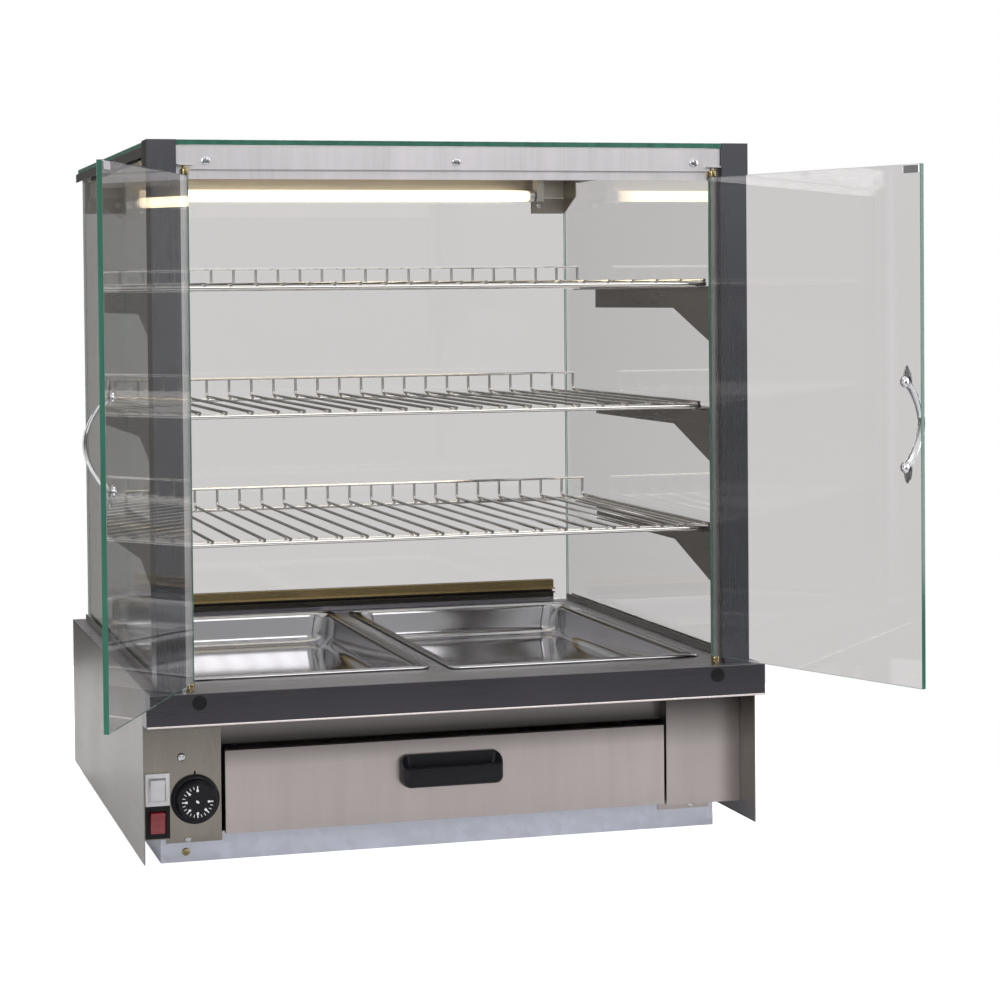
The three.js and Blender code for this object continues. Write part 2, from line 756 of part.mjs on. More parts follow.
/** The centre line of the heating element: straight runs and half turns. */
function elementLine() {
  const reach = HALF - ELEMENT_SIDE_MARGIN;
  const start = -((ELEMENT_RUNS - 1) * ELEMENT_PITCH) / 2;
  const points = [];
  for (let run = 0; run < ELEMENT_RUNS; run += 1) {
    const y = start + run * ELEMENT_PITCH;
    const way = run % 2 === 0 ? 1 : -1;
    points.push([-way * reach, y]);
    if (run === ELEMENT_RUNS - 1) break;
    for (let step = 0; step <= 6; step += 1) {
      const angle = (Math.PI * step) / 6;
      const out = (ELEMENT_PITCH / 2) * Math.sin(angle);
      points.push([way * (reach + out), y + (ELEMENT_PITCH / 2) * (1 - Math.cos(angle))]);
    }
  }
  points[0][0] = -(CHASSIS_HALF - 20);
  points.push([-(CHASSIS_HALF - 20), start + (ELEMENT_RUNS - 1) * ELEMENT_PITCH]);
  return points.map(([x, y]) => new THREE.Vector3(x, y, ELEMENT_HEIGHT));
}

function elementBar(y) {
  const half = CHASSIS_HALF - SHEET - GAP;
  const top = ELEMENT_HEIGHT - ELEMENT_RADIUS - GAP;
  const profile = bentSheet([
    [half, top - 15],
    [half, top],
    [-half, top],
    [-half, top - 15],
  ]);
  return prismY(profile, centred(y, ELEMENT_BAR_WIDTH));
}

function lampBallast() {
  const x = RUNNER_HALF + SHEET + BALLAST_OFFSET;
  const y = [BALLAST_START, BALLAST_START + BALLAST_LENGTH];
  return block(centred(x, BALLAST_WIDTH), y, [SHEET + GAP, SHEET + GAP + BALLAST_HEIGHT]);
}

function terminalBlock() {
  const x = -(RUNNER_HALF + SHEET + TERMINAL_OFFSET);
  const y = [TERMINAL_START, TERMINAL_START + TERMINAL_LENGTH];
  return block(centred(x, TERMINAL_WIDTH), y, [SHEET + GAP, SHEET + GAP + TERMINAL_HEIGHT]);
}

/** The cord gland: a flanged, threaded body with a nut, bored for a cord. */
function cableGland() {
  const thread = GLAND_HOLE_RADIUS - GAP;
  const profile = [
    [GLAND_BORE, -10],
    [11, -10],
    [11, -SHEET - GAP],
    [thread, -SHEET - GAP],
    [thread, GAP],
    [12, GAP],
    [12, 6],
    [9, 12],
    [GLAND_BORE, 12],
    [GLAND_BORE, -10],
  ];
  const points = profile.map(([r, y]) => new THREE.Vector2(r, y));
  const body = new THREE.LatheGeometry(points, 24);
  return body.translate(-HALF + GLAND_INSET, REAR, GLAND_HEIGHT);
}

// ----------------------------------------------------------------------- pans

function foodPan([x, setback]) {
  const y = PAN_FRONT + PAN_LENGTH / 2 + setback;
  const width = PAN_WIDTH - 2 * PAN_RIM_WIDTH;
  const length = PAN_LENGTH - 2 * PAN_RIM_WIDTH;
  const bottom = DECK_TOP - PAN_DEPTH + 0.5;
  const top = ON_DECK + PAN_RIM_HEIGHT;
  const rim = prismZ(roundedShape(x, y, PAN_WIDTH, PAN_LENGTH, PAN_CORNER / 2), [ON_DECK, top]);
  const tub = prismZ(roundedShape(x, y, width, length, PAN_CORNER), [bottom, top - 1]);
  const inner = roundedShape(
    x,
    y,
    width - 2 * PAN_WALL,
    length - 2 * PAN_WALL,
    PAN_CORNER - PAN_WALL,
  );
  return cut(join(rim, tub), prismZ(inner, [bottom + PAN_WALL, top + 5]));
}

// ----------------------------------------------------------------- case frame

/** A bent plate welded to the rear of a post, to carry the shelves' ends. */
function shelfBracket(side, seat) {
  const start = POST_REAR - GAP;
  const end = POST_REAR + BRACKET_REACH;
  const low = seat - BRACKET_HEIGHT;
  const knee = POST_REAR + BRACKET_KNEE;
  const outline = [
    [start, seat],
    [end, seat],
    [end, low],
    [knee, low],
    [start, low - BRACKET_GUSSET],
  ];
  const x = across(side, PLATE_PLANE - SHEET - 1.5, PLATE_PLANE - 1.5);
  const ledge = across(side, PLATE_PLANE - BRACKET_LEDGE, PLATE_PLANE - 2);
  return join(prismX(outline, x), block(ledge, [start, end], [seat - SHEET, seat]));
}

function frontPost(side) {
  const x = across(side, POST_INNER, POST_OUTER);
  const y = [POST_FRONT, POST_REAR];
  const hollow = block([x[0] + SHEET, x[1] - SHEET], [y[0] + SHEET, y[1] - SHEET], [0, HEIGHT - SHEET]);
  const tube = cut(block(x, y, [ON_DECK, HEIGHT]), hollow);
  const flange = block(
    across(side, POST_INNER - POST_FLANGE, POST_INNER + SHEET / 2),
    [POST_FRONT + 9, POST_FRONT + 9 + SHEET],
    [ON_DECK, UNDER_TOP_GLASS],
  );
  return join(tube, flange, ...SHELF_SEATS.map((seat) => shelfBracket(side, seat)));
}

function headerPlate() {
  const face = FRONT + HEADER_SETBACK;
  const half = POST_INNER - POST_FLANGE - GAP;
  const wide = POST_INNER - GAP - 0.1;
  const bottom = HEIGHT - HEADER_DROP;
  const ear = bottom + HEADER_EAR_RISE;
  const profile = bentSheet([
    [face + 23, UNDER_TOP_GLASS],
    [face, UNDER_TOP_GLASS],
    [face, bottom],
    [face + 5, bottom],
    [face + 5, HEIGHT - STOP_DROP],
  ]);
  const ears = [-1, 1].flatMap((side) => [
    block(across(side, half - 1, wide), [face, face + SHEET], [ear, UNDER_TOP_GLASS]),
    block(across(side, half - 5, wide - 1), [face - 5.5, face + SHEET], [ear - SHEET, ear]),
  ]);
  const pivots = [-1, 1].map((side) =>
    bar("z", PIVOT_RADIUS + GAP, bottom, ear, [side * HINGE_X, HINGE_Y, 0]),
  );
  return cut(join(prismX(profile, [-half, half]), ...ears), ...pivots);
}

function topGlass() {
  const narrow = POST_INNER - GAP - 0.1;
  const wide = POST_OUTER - 3;
  const outline = [
    [-wide, CASE_REAR],
    [-wide, BEHIND_POST],
    [-narrow, BEHIND_POST],
    [-narrow, POST_FRONT],
    [narrow, POST_FRONT],
    [narrow, BEHIND_POST],
    [wide, BEHIND_POST],
    [wide, CASE_REAR],
  ];
  return prismZ(outline, [TOP_GLASS_UNDER, TOP_GLASS_UNDER + GLASS]);
}

/** The bent rail that caps a side glass under the top glass. */
function sideTopBeam(side) {
  const inner = SIDE_GLASS_INNER - GAP;
  const foot = UNDER_TOP_GLASS - BEAM_HEIGHT;
  const profile = bentSheet([
    [POST_OUTER, foot],
    [POST_OUTER, UNDER_TOP_GLASS],
    [inner - SHEET, UNDER_TOP_GLASS],
    [inner - SHEET, foot],
  ]);
  return prismY(profile.map(([x, z]) => [side * x, z]), [BEHIND_POST, CASE_REAR]);
}

function sideChannel(side) {
  const inner = SIDE_GLASS_INNER - 4;
  const outer = inner + CHANNEL_WIDTH;
  const top = ON_DECK + CHANNEL_HEIGHT;
  const profile = bentSheet([
    [inner, top],
    [inner, ON_DECK],
    [outer, ON_DECK],
    [outer, top],
  ]);
  return prismY(profile.map(([x, z]) => [side * x, z]), [BEHIND_POST, REAR_GLASS_FRONT - GAP]);
}

function sideGlass(side) {
  const top = UNDER_TOP_GLASS - SHEET - 0.8;
  return block(
    across(side, SIDE_GLASS_INNER, SIDE_GLASS_OUTER),
    [BEHIND_POST, CASE_REAR],
    [ON_DECK + GLASS_SEAT, top],
  );
}

function rearGlass() {
  const half = SIDE_GLASS_INNER - SHEET - 2 * GAP;
  return block([-half, half], [REAR_GLASS_FRONT, CASE_REAR], [ON_DECK, UNDER_TOP_GLASS - 2.5]);
}

/** The grooved rail along the foot of the rear glass. */
function rearChannel() {
  const back = REAR_GLASS_FRONT - 1;
  const front = back - REAR_CHANNEL_DEPTH;
  const [low, high] = [ON_DECK, ON_DECK + REAR_CHANNEL_HEIGHT];
  const [under, over] = [low + GROOVE_HEIGHT, low + GROOVE_HEIGHT + GROOVE_WIDTH];
  const [lip, root] = [front - GROOVE_LIP, front + GROOVE_DEPTH];
  const outline = [
    [back, low],
    [back, high],
    [front, high],
    [front, over + SHEET],
    [lip, over + SHEET],
    [lip, over],
    [root, over],
    [root, under],
    [lip, under],
    [lip, under - SHEET],
    [front, under - SHEET],
    [front, low],
  ];
  const half = SIDE_GLASS_INNER - REAR_CHANNEL_MARGIN;
  return prismX(outline, [-half, half]);
}

const HOUSING_HALF = PLATE_PLANE - SHEET - GAP;
const HOUSING_BOTTOM = HEIGHT - LAMP_HOUSING_DROP;

function lampHousing() {
  const back = REAR_GLASS_FRONT - SHEET;
  const top = UNDER_TOP_GLASS - 0.2;
  const profile = bentSheet([
    [back, HOUSING_BOTTOM],
    [back, top],
    [back - LAMP_HOUSING_DEPTH, top],
    [back - LAMP_HOUSING_DEPTH, top - LAMP_HOUSING_LIP],
  ]);
  return prismX(profile, [-HOUSING_HALF, HOUSING_HALF]);
}

const LAMP_Y = REAR_GLASS_FRONT - LAMP_SETBACK;
const LAMP_Z = HEIGHT - LAMP_DROP;

function lampTube() {
  return bar("x", LAMP_RADIUS, -LAMP_LENGTH / 2, LAMP_LENGTH / 2, [0, LAMP_Y, LAMP_Z], 20);
}

function lampHolder(side) {
  const near = LAMP_LENGTH / 2 + 1;
  const top = UNDER_TOP_GLASS - SHEET - 0.2 - GAP;
  const x = across(side, near, near + LAMP_HOLDER_LENGTH);
  return block(x, centred(LAMP_Y, LAMP_HOLDER_WIDTH), [LAMP_Z - LAMP_RADIUS, top]);
}

/** The angle plate that ties the lamp housing to the rear corner. */
function cornerPlate(side) {
  const low = HEIGHT - CORNER_PLATE_DROP;
  const back = REAR_PLATE - 0.1;
  const rear = block(
    across(side, PLATE_PLANE - CORNER_PLATE_WIDTH, PLATE_PLANE),
    [back - SHEET, back],
    [low, HOUSING_BOTTOM - GAP],
  );
  const top = UNDER_TOP_GLASS - SHEET - GAP;
  const front = back - CORNER_PLATE_DEPTH;
  const outline = [
    [back, low],
    [back, top],
    [front, top],
    [front, HOUSING_BOTTOM],
  ];
  return join(rear, prismX(outline, across(side, PLATE_PLANE - SHEET, PLATE_PLANE)));
}

// -------------------------------------------------------------------- shelves

/** A loose wire shelf: a bar frame, its wires and the fence at the rear. */
function wireShelf(seat, shift) {
  const low = seat + GAP;
  const wires = low + SHELF_BAR;
  const x = [shift - SHELF_HALF, shift + SHELF_HALF];
  const z = [low, wires + 0.4];
  const crossBars = [SHELF_FRONT, SHELF_FRONT + 22, SHELF_REAR - 10].map((y) =>
    block(x, centred(y, SHELF_BAR), z),
  );
  const sides = [x[0] + SHELF_BAR / 2, x[1] - SHELF_BAR / 2].map((at) =>
    block(centred(at, SHELF_BAR), [SHELF_FRONT, SHELF_REAR - 10], z),
  );
  const rail = block(
    [x[0] + SHELF_WIRE / 2, x[1] - SHELF_WIRE / 2],
    centred(SHELF_REAR - 1, SHELF_WIRE),
    [wires + SHELF_FENCE, wires + SHELF_FENCE + SHELF_WIRE],
  );
  const count = Math.floor((2 * SHELF_HALF - SHELF_BAR) / SHELF_PITCH) + 1;
  const first = shift - ((count - 1) * SHELF_PITCH) / 2;
  const outline = bentSheet(
    [
      [SHELF_FRONT - 1, wires],
      [SHELF_REAR + SHELF_WIRE, wires],
      [SHELF_REAR + SHELF_WIRE, wires + SHELF_FENCE + SHELF_WIRE / 2],
    ],
    SHELF_WIRE,
  );
  const bent = Array.from({ length: count }, (_, i) =>
    prismX(outline, centred(first + i * SHELF_PITCH, SHELF_WIRE)),
  );
  return join(...crossBars, ...sides, rail, ...bent);
}

// ---------------------------------------------------------------------- doors

/** A glass door, closed, seen from its pivot: it reaches along `way`. */
function doorGlass(way) {
  return block(across(way, -DOOR_HEEL, DOOR_REACH), centred(0, GLASS), [DOOR_BOTTOM, DOOR_TOP]);
}

function bottomPivot() {
  const top = DOOR_BOTTOM - GAP;
  return join(
    bar("z", SHOE_RADIUS, ON_DECK + 0.7, top, [0, 0, 0]),
    bar("z", PIVOT_RADIUS, DECK_UNDER - 1, ON_DECK + 1, [0, 0, 0], 12),
  );
}

function topPivot() {
  const shoeTop = HEIGHT - HEADER_DROP - GAP;
  return join(
    bar("z", SHOE_RADIUS, DOOR_TOP + GAP, shoeTop, [0, 0, 0]),
    bar("z", PIVOT_RADIUS, shoeTop - 0.5, shoeTop + HEADER_EAR_RISE, [0, 0, 0], 12),
  );
}

/** The bow handle on a door's outer face, its ends lying on the glass. */
function doorHandle(way) {
  const face = -GLASS / 2 - GAP;
  const half = DOOR_HANDLE_SCREWS / 2 - 4;
  const end = DOOR_HANDLE_LENGTH / 2;
  const rise = DOOR_HANDLE_BOW - DOOR_HANDLE_THICKNESS;
  const bow = Array.from({ length: 11 }, (_, i) => {
    const along = (i - 5) / 5;
    return [face - rise * Math.cos((along * Math.PI) / 2), DOOR_HANDLE_HEIGHT + along * half];
  });
  const line = [
    [face, DOOR_HANDLE_HEIGHT - end],
    ...bow,
    [face, DOOR_HANDLE_HEIGHT + end],
  ];
  const x = way * (DOOR_REACH - DOOR_HANDLE_FROM_EDGE);
  return prismX(bentSheet(line, DOOR_HANDLE_THICKNESS), centred(x, DOOR_HANDLE_WIDTH));
}

function strikePlate(way) {
  const face = GLASS / 2 + GAP;
  const x = across(way, DOOR_REACH - STRIKE_WIDTH - 1, DOOR_REACH - 1);
  return block(x, [face, face + 1.5], [DOOR_TOP - 1 - STRIKE_HEIGHT, DOOR_TOP - 1]);
}

function addDoor(name, side, openDegrees) {
  const door = new THREE.Group();
  door.position.set(side * HINGE_X, HINGE_Y, 0);
  door.rotation.z = THREE.MathUtils.degToRad(side * openDegrees);
  displayCase.add(door);
  add(`door_glass_${name}`, doorGlass(-side), glass(0xbdc6c4), door);
  add(`door_pivot_bottom_${name}`, bottomPivot(), metal(BRASS), door);
  add(`door_pivot_top_${name}`, topPivot(), metal(BRASS), door);
  add(`door_handle_${name}`, doorHandle(-side), metal(CHROME, 0.12), door);
  add(`strike_plate_${name}`, strikePlate(-side), metal(CHROME, 0.2), door);
}

// ------------------------------------------------------------------- assembly

add("chassis_tray", chassisTray(), metal(GALVANISED, 0.5));
add("fascia_panel", fasciaPanel(), metal(DARK_STEEL));
add("base_back_panel", baseBackPanel(), metal(STEEL));
add("deck_top", deckTop(), metal(DARK_STEEL));
add("control_box", controlBox(), metal(STEEL));
add("right_box", sideBox(1), metal(STEEL));
add("heating_element", sweep(elementLine(), circle(ELEMENT_RADIUS, 6)), metal(0x6e6a68));
add("element_bar_front", elementBar(-ELEMENT_PITCH), metal(GALVANISED, 0.5));
add("element_bar_rear", elementBar(ELEMENT_PITCH), metal(GALVANISED, 0.5));
add("thermostat_body", thermostatBody(), metal(0xa8a6a2));
addKnob();
add("power_switch_body", switchBody(SWITCH_CENTRES.power), plastic(BLACK));
add("light_switch_body", switchBody(SWITCH_CENTRES.light), plastic(WHITE));
addRocker("power_rocker", SWITCH_CENTRES.power, plastic(RED, 0.2));
addRocker("light_rocker", SWITCH_CENTRES.light, plastic(WHITE, 0.3));
add("lamp_ballast", lampBallast(), metal(0xb8bcc0));
add("terminal_block", terminalBlock(), plastic(WHITE));
add("cable_gland", cableGland(), plastic(BLACK));
add("drawer_tub", drawerTub(), metal(STEEL));
add("drawer_front", drawerFront(), metal(STEEL));
add("drawer_handle", drawerHandle(), plastic(BLACK));
add("header_plate", headerPlate(), metal(STEEL));
add("top_glass", topGlass(), glass(0x7fa596, 0.35));
add("rear_glass", rearGlass(), glass());
add("rear_channel", rearChannel(), metal(ALUMINIUM));
add("lamp_housing", lampHousing(), metal(STEEL));
add("lamp_tube", lampTube(), plastic(0xfff8e6, 0.2));

for (const [name, side] of Object.entries(SIDES)) {
  add(`base_side_panel_${name}`, baseSidePanel(side), metal(STEEL));
  add(`rail_plug_${name}`, railPlug(side), plastic(BLACK));
  add(`front_post_${name}`, frontPost(side), metal(DARK_STEEL));
  add(`side_top_beam_${name}`, sideTopBeam(side), metal(DARK_STEEL));
  add(`side_glass_${name}`, sideGlass(side), glass());
  add(`side_channel_${name}`, sideChannel(side), metal(DARK_STEEL));
  add(`corner_plate_${name}`, cornerPlate(side), metal(STEEL));
  add(`lamp_holder_${name}`, lampHolder(side), plastic(WHITE));
  add(`pan_${name}`, foodPan(PAN_PLACES[name]), metal(0xc2c2c6, 0.2));
}

SHELF_NAMES.forEach((name, level) => {
  const shelf = wireShelf(SHELF_SEATS[level], SHELF_SHIFTS[level]);
  add(`wire_shelf_${name}`, shelf, metal(CHROME, 0.2));
});

addDoor("left", SIDES.left, DOOR_OPEN_LEFT);
addDoor("right", SIDES.right, DOOR_OPEN_RIGHT);

export default displayCase;
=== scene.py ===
"""Looks for a countertop hot food display case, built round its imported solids.

Every length is in metres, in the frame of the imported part: +X right, +Y back,
+Z up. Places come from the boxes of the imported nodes. Sizes of the fittings
are the fields of the classes that make them.
"""

import json
import logging
import math
from dataclasses import dataclass
from enum import Enum
from typing import Iterable, Sequence

import bmesh
import bpy
from mathutils import Matrix, Vector


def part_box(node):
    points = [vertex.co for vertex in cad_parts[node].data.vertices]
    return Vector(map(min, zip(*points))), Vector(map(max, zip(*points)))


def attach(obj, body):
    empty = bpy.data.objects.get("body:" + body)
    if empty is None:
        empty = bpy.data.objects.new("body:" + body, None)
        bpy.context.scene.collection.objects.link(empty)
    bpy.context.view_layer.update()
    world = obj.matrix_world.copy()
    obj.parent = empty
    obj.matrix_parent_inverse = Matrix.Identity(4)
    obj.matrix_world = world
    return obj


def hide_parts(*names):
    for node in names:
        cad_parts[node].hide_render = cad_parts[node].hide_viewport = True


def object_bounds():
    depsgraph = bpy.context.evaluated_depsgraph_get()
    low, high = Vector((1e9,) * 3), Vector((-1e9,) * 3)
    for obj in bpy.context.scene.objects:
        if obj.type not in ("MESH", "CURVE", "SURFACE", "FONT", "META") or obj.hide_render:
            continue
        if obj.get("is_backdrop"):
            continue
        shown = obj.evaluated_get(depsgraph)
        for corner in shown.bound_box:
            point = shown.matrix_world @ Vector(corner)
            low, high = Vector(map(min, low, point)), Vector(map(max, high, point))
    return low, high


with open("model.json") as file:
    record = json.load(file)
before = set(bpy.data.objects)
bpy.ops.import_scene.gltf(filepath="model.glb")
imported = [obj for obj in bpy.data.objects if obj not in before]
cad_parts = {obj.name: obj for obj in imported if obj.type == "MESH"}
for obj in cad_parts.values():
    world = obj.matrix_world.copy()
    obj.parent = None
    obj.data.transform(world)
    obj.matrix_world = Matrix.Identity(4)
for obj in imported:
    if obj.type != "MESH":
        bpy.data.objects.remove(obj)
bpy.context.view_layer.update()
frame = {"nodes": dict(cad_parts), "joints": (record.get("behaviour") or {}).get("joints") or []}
LOG = logging.getLogger("display_case")
MM = 0.001

Ring = list[Vector]
Colour = tuple[float, float, float]


class Axis(Enum):
    """A direction of the part's frame."""

    X = 0
    Y = 1
    Z = 2


# ------------------------------------------------------------------ node trees


class Bench:
    """A node tree being wired, for a material, the world or a geometry rule."""

    def __init__(self, tree: bpy.types.NodeTree) -> None:
        """Takes the tree and clears it."""
        self.tree = tree
        tree.nodes.clear()

    def add(self, kind: str, inputs: dict | None = None, **settings: object) -> bpy.types.Node:
        """Adds a node.

        Args:
            kind: Blender's name for the node type.
            inputs: a value or an output socket for each input, by name or place.
            **settings: the node's own properties.

        Returns:
            The new node.
        """
        made = self.tree.nodes.new(kind)
        for key, value in settings.items():
            setattr(made, key, value)
        for key, value in (inputs or {}).items():
            if isinstance(value, bpy.types.NodeSocket):
                self.tree.links.new(value, made.inputs[key])
            else:
                made.inputs[key].default_value = value
        return made

    def maths(self, operation: str, *values: object) -> bpy.types.NodeSocket:
        """Adds one Math node and returns its result."""
        return self.add("ShaderNodeMath", dict(enumerate(values)), operation=operation).outputs[0]

    def blend(self, factor: object, first: object, second: object) -> bpy.types.NodeSocket:
        """Mixes two colours by a factor and returns the result."""
        inputs = {0: factor, 6: first, 7: second}
        return self.add("ShaderNodeMix", inputs, data_type="RGBA").outputs[2]

    def spread(self, value: object, low: float, high: float) -> bpy.types.NodeSocket:
        """Maps a 0 to 1 value on to a range and returns the result."""
        inputs = {"Value": value, "To Min": low, "To Max": high}
        return self.add("ShaderNodeMapRange", inputs).outputs[0]

    def step(self, value: object, start: float, end: float) -> bpy.types.NodeSocket:
        """Turns a range of a value into 0 to 1, clamped, and returns the result."""
        inputs = {"Value": value, "From Min": start, "From Max": end}
        return self.add("ShaderNodeMapRange", inputs).outputs[0]

    def noise(self, scale: Sequence[float], detail: float = 2.0, offset: float = 0.0) -> bpy.types.NodeSocket:
        """Adds noise on Object coordinates.

        Args:
            scale: how fine the noise is along X, Y and Z, per metre.
            detail: how many finer layers it has.
            offset: moves the pattern, so that two finishes don't match.

        Returns:
            The noise's factor socket.
        """
        coordinates = self.add("ShaderNodeTexCoord").outputs["Object"]
        place = {"Vector": coordinates, "Scale": tuple(scale), "Location": (offset,) * 3}
        mapping = self.add("ShaderNodeMapping", place).outputs["Vector"]
        inputs = {"Vector": mapping, "Scale": 1.0, "Detail": detail}
        return self.add("ShaderNodeTexNoise", inputs).outputs[0]


def rgba(colour: Colour) -> tuple[float, float, float, float]:
    """Adds full opacity to a colour."""
    return (*colour, 1.0)


def shade(colour: Colour, share: float) -> tuple[float, float, float, float]:
    """Makes a colour lighter or darker by a share of itself."""
    return rgba(tuple(min(channel * share, 1.0) for channel in colour))


# -------------------------------------------------------------------- finishes


def open_finish(name: str) -> tuple[bpy.types.Material, Bench, bpy.types.Node]:
    """Starts a material.

    Args:
        name: the finish's name.

    Returns:
        The material, its bench and its surface shader.
    """
    material = bpy.data.materials.new(name)
    material.use_nodes = True
    bench = Bench(material.node_tree)
    surface = bench.add("ShaderNodeBsdfPrincipled")
    bench.add("ShaderNodeOutputMaterial", {"Surface": surface.outputs[0]})
    return material, bench, surface


RAIL_REFLECTION_DARK = (0.105, 0.10, 0.113)


@dataclass(frozen=True)
class BrushedSteel:
    """Sheet steel with a one-way grain, soft stains and a few scratches.

    The shaded pair of heights is a painted band that stands for the dark
    reflection of the rail above; it is colour, not light.
    """

    name: str
    colour: Colour
    grain: Axis
    roughness: float = 0.3
    fineness: float = 1500.0
    streak: float = 10.0
    depth: float = 0.05
    stain: float = 0.10
    contrast: float = 0.07
    shaded: tuple[float, float] | None = None
    shaded_tone: float = 0.3

    def along(self, fine: float, coarse: float) -> list[float]:
        """Scale of a pattern that runs along the grain."""
        return [coarse if self.grain.value == axis else fine for axis in range(3)]

    def make(self) -> bpy.types.Material:
        """Builds the material."""
        material, bench, surface = open_finish(self.name)
        grain = bench.noise(self.along(self.fineness, self.streak), 3.0)
        broad = bench.noise(self.along(60.0, 3.0), 2.0, 5.3)
        stain = bench.noise((5.0, 5.0, 5.0), 3.0, 1.7)
        lines = bench.noise(self.along(2400.0, 6.0), 1.0, 9.1)
        scratch = bench.step(lines, 0.74, 0.78)
        body = bench.blend(grain, shade(self.colour, 1 - self.contrast), shade(self.colour, 1 + self.contrast))
        wide = bench.blend(bench.step(broad, 0.3, 0.7), body, shade(self.colour, 1.08))
        cloudy = bench.blend(bench.maths("MULTIPLY", stain, self.stain * 2), wide, shade(self.colour, 0.7))
        wear_and_painted_light = bench.blend(bench.maths("MULTIPLY", scratch, 0.3), cloudy, shade(self.colour, 1.5))
        # Painted shade: from the first shaded height to the second the colour darkens to the shaded tone.
        if self.shaded:
            place = bench.add("ShaderNodeTexCoord").outputs["Object"]
            height = bench.add("ShaderNodeSeparateXYZ", {0: place}).outputs["Z"]
            wear_and_painted_light = bench.blend(bench.step(height, *self.shaded), wear_and_painted_light, shade(self.colour, self.shaded_tone))
        bench.tree.links.new(wear_and_painted_light, surface.inputs["Base Color"])
        rough = bench.maths("ADD", bench.spread(grain, -0.07, 0.09), bench.spread(stain, -0.05, 0.08))
        whole = bench.maths("ADD", rough, self.roughness)
        bench.tree.links.new(whole, surface.inputs["Roughness"])
        height = bench.maths("SUBTRACT", grain, bench.maths("MULTIPLY", scratch, 0.5))
        bump = bench.add("ShaderNodeBump", {"Height": height, "Strength": self.depth, "Distance": 0.0004})
        bench.tree.links.new(bump.outputs[0], surface.inputs["Normal"])
        surface.inputs["Metallic"].default_value = 1.0
        return material


@dataclass(frozen=True)
class DeckSteel:
    """The deck sheet, one steel in painted reflection: pale on its level top, dark on its folded rails."""

    name: str
    level: float
    top: Colour = (0.46, 0.44, 0.45)
    rail: Colour = RAIL_REFLECTION_DARK

    def make(self) -> bpy.types.Material:
        """Builds the material."""
        material, bench, surface = open_finish(self.name)
        place = bench.add("ShaderNodeTexCoord").outputs["Object"]
        height = bench.add("ShaderNodeSeparateXYZ", {0: place}).outputs["Z"]
        grain = bench.noise((8.0, 1300.0, 1300.0), 3.0)
        stain = bench.noise((5.0, 5.0, 5.0), 3.0, 1.7)
        # Painted reflection: the level top takes the pale tone and the folded rails the dark one.
        on_top = bench.step(height, self.level - 0.0011, self.level - 0.0004)
        base = bench.blend(on_top, rgba(self.rail), rgba(self.top))
        lined = bench.blend(bench.spread(grain, 0.0, 0.12), base, (0.02, 0.02, 0.022, 1.0))
        wear_and_painted_light = bench.blend(bench.spread(stain, 0.0, 0.12), lined, (0.30, 0.29, 0.32, 1.0))
        bench.tree.links.new(wear_and_painted_light, surface.inputs["Base Color"])
        rough = bench.maths("ADD", bench.spread(grain, 0.22, 0.32), bench.spread(stain, -0.03, 0.06))
        bench.tree.links.new(rough, surface.inputs["Roughness"])
        bump = bench.add("ShaderNodeBump", {"Height": grain, "Strength": 0.05, "Distance": 0.0003})
        bench.tree.links.new(bump.outputs[0], surface.inputs["Normal"])
        surface.inputs["Metallic"].default_value = 1.0
        return material


@dataclass(frozen=True)
class PostSteel:
    """The posts' steel: dark faces, paler inner flanges and pale shelf brackets.

    The two flanges are one steel; the near white left flange is a painted highlight.
    """

    name: str
    face: Colour = (0.135, 0.138, 0.158)
    bracket: Colour = (0.45, 0.415, 0.395)
    left_flange_highlight: Colour = (0.95, 0.91, 0.93)
    right_flange: Colour = (0.50, 0.46, 0.455)
    flange_edge: float = 0.3348
    bracket_start: float = -0.2812

    def make(self) -> bpy.types.Material:
        """Builds the material."""
        material, bench, surface = open_finish(self.name)
        place = bench.add("ShaderNodeTexCoord").outputs["Object"]
        parts = bench.add("ShaderNodeSeparateXYZ", {0: place}).outputs
        upright = bench.noise((700.0, 700.0, 9.0), 2.0)
        level = bench.noise((700.0, 12.0, 700.0), 2.0, 3.3)
        cloud = bench.noise((6.0, 6.0, 4.0), 3.0, 7.7)
        on_bracket = bench.step(parts["Y"], self.bracket_start, self.bracket_start + 0.0006)
        inside = bench.maths("LESS_THAN", bench.maths("ABSOLUTE", parts["X"]), self.flange_edge)
        # Painted highlight: the left flange gets the near white tone, the right flange the plain steel tone.
        on_left = bench.maths("LESS_THAN", parts["X"], 0.0)
        flange = bench.blend(on_left, rgba(self.right_flange), rgba(self.left_flange_highlight))
        post = bench.blend(inside, rgba(self.face), flange)
        base = bench.blend(on_bracket, post, rgba(self.bracket))
        grain = bench.maths("ADD", bench.maths("MULTIPLY", upright, bench.maths("SUBTRACT", 1.0, on_bracket)),
                            bench.maths("MULTIPLY", level, on_bracket))
        lined = bench.blend(bench.spread(grain, 0.0, 0.08), base, (0.0, 0.0, 0.0, 1.0))
        clouded = bench.blend(bench.spread(cloud, 0.0, 0.12), lined, (0.5, 0.48, 0.5, 1.0))
        bench.tree.links.new(clouded, surface.inputs["Base Color"])
        rough = bench.maths("ADD", bench.spread(grain, 0.22, 0.34), bench.spread(cloud, -0.04, 0.06))
        bench.tree.links.new(rough, surface.inputs["Roughness"])
        bump = bench.add("ShaderNodeBump", {"Height": grain, "Strength": 0.05, "Distance": 0.0003})
        bench.tree.links.new(bump.outputs[0], surface.inputs["Normal"])
        surface.inputs["Metallic"].default_value = 1.0
        return material


